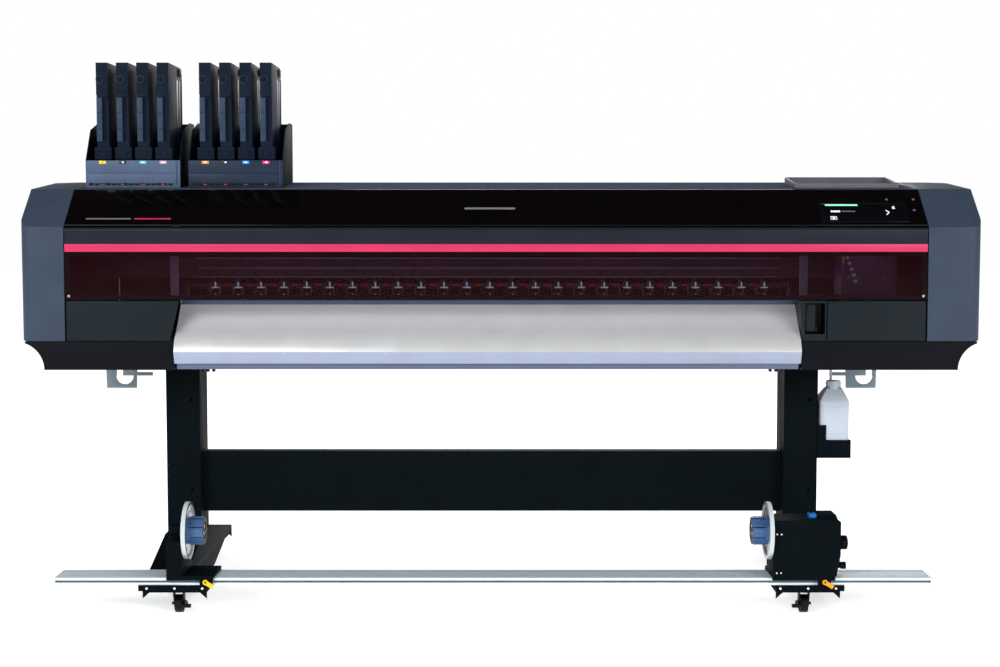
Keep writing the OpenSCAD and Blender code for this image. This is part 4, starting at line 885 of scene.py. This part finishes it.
def bottle_details():
    a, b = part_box("waste_bottle")
    x, y, z = (a[0] + b[0]) / 2 + 0.004, (a[1] + b[1]) / 2, 0.597

    def cap(bm):
        for k in range(20):
            turn = Matrix.Rotation(math.radians(18 * k), 3, "Z")
            at = Vector((x, y, z + 0.010)) + turn @ Vector((0.0212, 0, 0))
            size = Vector((0.0011, 0.0016, 0.008))
            add_block(bm, at - size, at + size, 0.0005, turn)
        add_lathe(bm, (x, y, z - 0.003), (0, 0, 1), [(0, 0.0225), (0, 0.0245), (0.004, 0.0245),
                                                     (0.004, 0.0225)], steps=36)

    piece("bottle_cap_grip", mesh_of("bottle_cap", cap), "bottle_cap", "root")
    bands = [((a[0] + 0.008, a[1] - 0.0012, level), (b[0] - 0.008, a[1] + 0.001, level + 0.003))
             for level in (0.462, 0.540)]
    blocks("bottle_bands", bands, "bottle", "waste_bottle", 0.0006)


bottle_details()


# ---- Stage ----


def make_stage():
    mesh = bpy.data.meshes.new("floor")
    half = 30.0
    mesh.from_pydata([(-half, -half, 0), (half, -half, 0), (half, half, 0), (-half, half, 0)], [],
                     [(0, 1, 2, 3)])
    floor = bpy.data.objects.new("floor", mesh)
    pale = surface("floor_pale", "f4f4f4", rough=0.9, mottle=0.01, specular=0.05, glow=0.7)
    # The floor glows more away from the printer, so that it stays white up to the horizon
    new, link = pale.node_tree.nodes.new, pale.node_tree.links.new
    place = new("ShaderNodeTexCoord")
    reach = new("ShaderNodeVectorMath")
    reach.operation = "LENGTH"
    glow = new("ShaderNodeMapRange")
    glow.inputs["From Min"].default_value = 1.2
    glow.inputs["From Max"].default_value = 4.0
    glow.inputs["To Min"].default_value = 0.7
    glow.inputs["To Max"].default_value = 1.15
    link(place.outputs["Object"], reach.inputs[0])
    link(reach.outputs["Value"], glow.inputs["Value"])
    link(glow.outputs["Result"], pale.node_tree.nodes["Principled BSDF"].inputs["Emission Strength"])
    floor.data.materials.append(pale)
    bpy.context.scene.collection.objects.link(floor)


def make_flag():
    """A dark card far behind, hidden by the printer, so that the media slot reads dark from the front."""
    mesh = bpy.data.meshes.new("dark_flag")
    corners = [(-3.6, 12, 0.05), (3.6, 12, 0.05), (3.6, 12, 0.75), (-3.6, 12, 0.75)]
    mesh.from_pydata(corners, [], [(0, 1, 2, 3)])
    flag = bpy.data.objects.new("dark_flag", mesh)
    flag.data.materials.append(surface("flag_black", "050304", rough=0.9, specular=0.0))
    bpy.context.scene.collection.objects.link(flag)


def make_world():
    world = bpy.data.worlds.new("studio")
    world.use_nodes = True
    tree = world.node_tree
    tree.nodes.clear()
    new, link = tree.nodes.new, tree.links.new
    out = new("ShaderNodeOutputWorld")
    seen = new("ShaderNodeBackground")
    seen.inputs["Color"].default_value = (1, 1, 1, 1)
    seen.inputs["Strength"].default_value = 1.0
    soft = new("ShaderNodeBackground")
    soft.inputs["Strength"].default_value = 0.42
    place = new("ShaderNodeTexCoord")
    split = new("ShaderNodeSeparateXYZ")
    ramp = new("ShaderNodeValToRGB")
    ramp.color_ramp.elements[0].position = 0.15
    ramp.color_ramp.elements[0].color = (1.0, 1.0, 1.0, 1)
    ramp.color_ramp.elements[1].position = 0.75
    ramp.color_ramp.elements[1].color = (0.06, 0.06, 0.07, 1)
    path = new("ShaderNodeLightPath")
    mix = new("ShaderNodeMixShader")
    link(place.outputs["Generated"], split.inputs["Vector"])
    link(split.outputs["Z"], ramp.inputs["Fac"])
    link(ramp.outputs["Color"], soft.inputs["Color"])
    link(path.outputs["Is Camera Ray"], mix.inputs["Fac"])
    link(soft.outputs["Background"], mix.inputs[1])
    link(seen.outputs["Background"], mix.inputs[2])
    link(mix.outputs["Shader"], out.inputs["Surface"])
    bpy.context.scene.world = world


def area_light(name, at, target, size, energy, colour=(1, 1, 1), glossy=True):
    data = bpy.data.lights.new(name, "AREA")
    data.shape = "RECTANGLE"
    data.size, data.size_y = size
    data.energy = energy
    data.color = colour
    holder = bpy.data.objects.new(name, data)
    holder.location = at
    holder.rotation_euler = (Vector(target) - Vector(at)).to_track_quat("-Z", "Y").to_euler()
    holder.visible_glossy = glossy
    bpy.context.scene.collection.objects.link(holder)
    return holder


def make_lights():
    area_light("key", (-3.2, -4.6, 3.4), (0, 0, 0.8), (2.4, 1.8), 190, (0.93, 0.96, 1.0))
    area_light("fill", (3.6, -4.2, 2.2), (0.2, 0, 0.8), (1.8, 1.8), 95, (0.95, 0.97, 1.0))
    area_light("top", (0, 0.2, 4.6), (0, 0, 0), (4.0, 1.6), 42, (0.95, 0.97, 1.0), glossy=False)
    area_light("low_front", (0, -5.5, 1.9), (0, 0, 0.6), (4.5, 0.7), 48, glossy=False)
    area_light("back", (0.5, 4.6, 2.8), (0, 0, 0.8), (3.0, 1.6), 120)
    inside = area_light("inside", (0, -0.225, 1.045), (0, -0.12, 0.9), (2.2, 0.012), 1.1, (0.85, 0.8, 1.0),
                        glossy=False)
    inside.visible_camera = False


make_stage()
make_flag()
make_world()
make_lights()
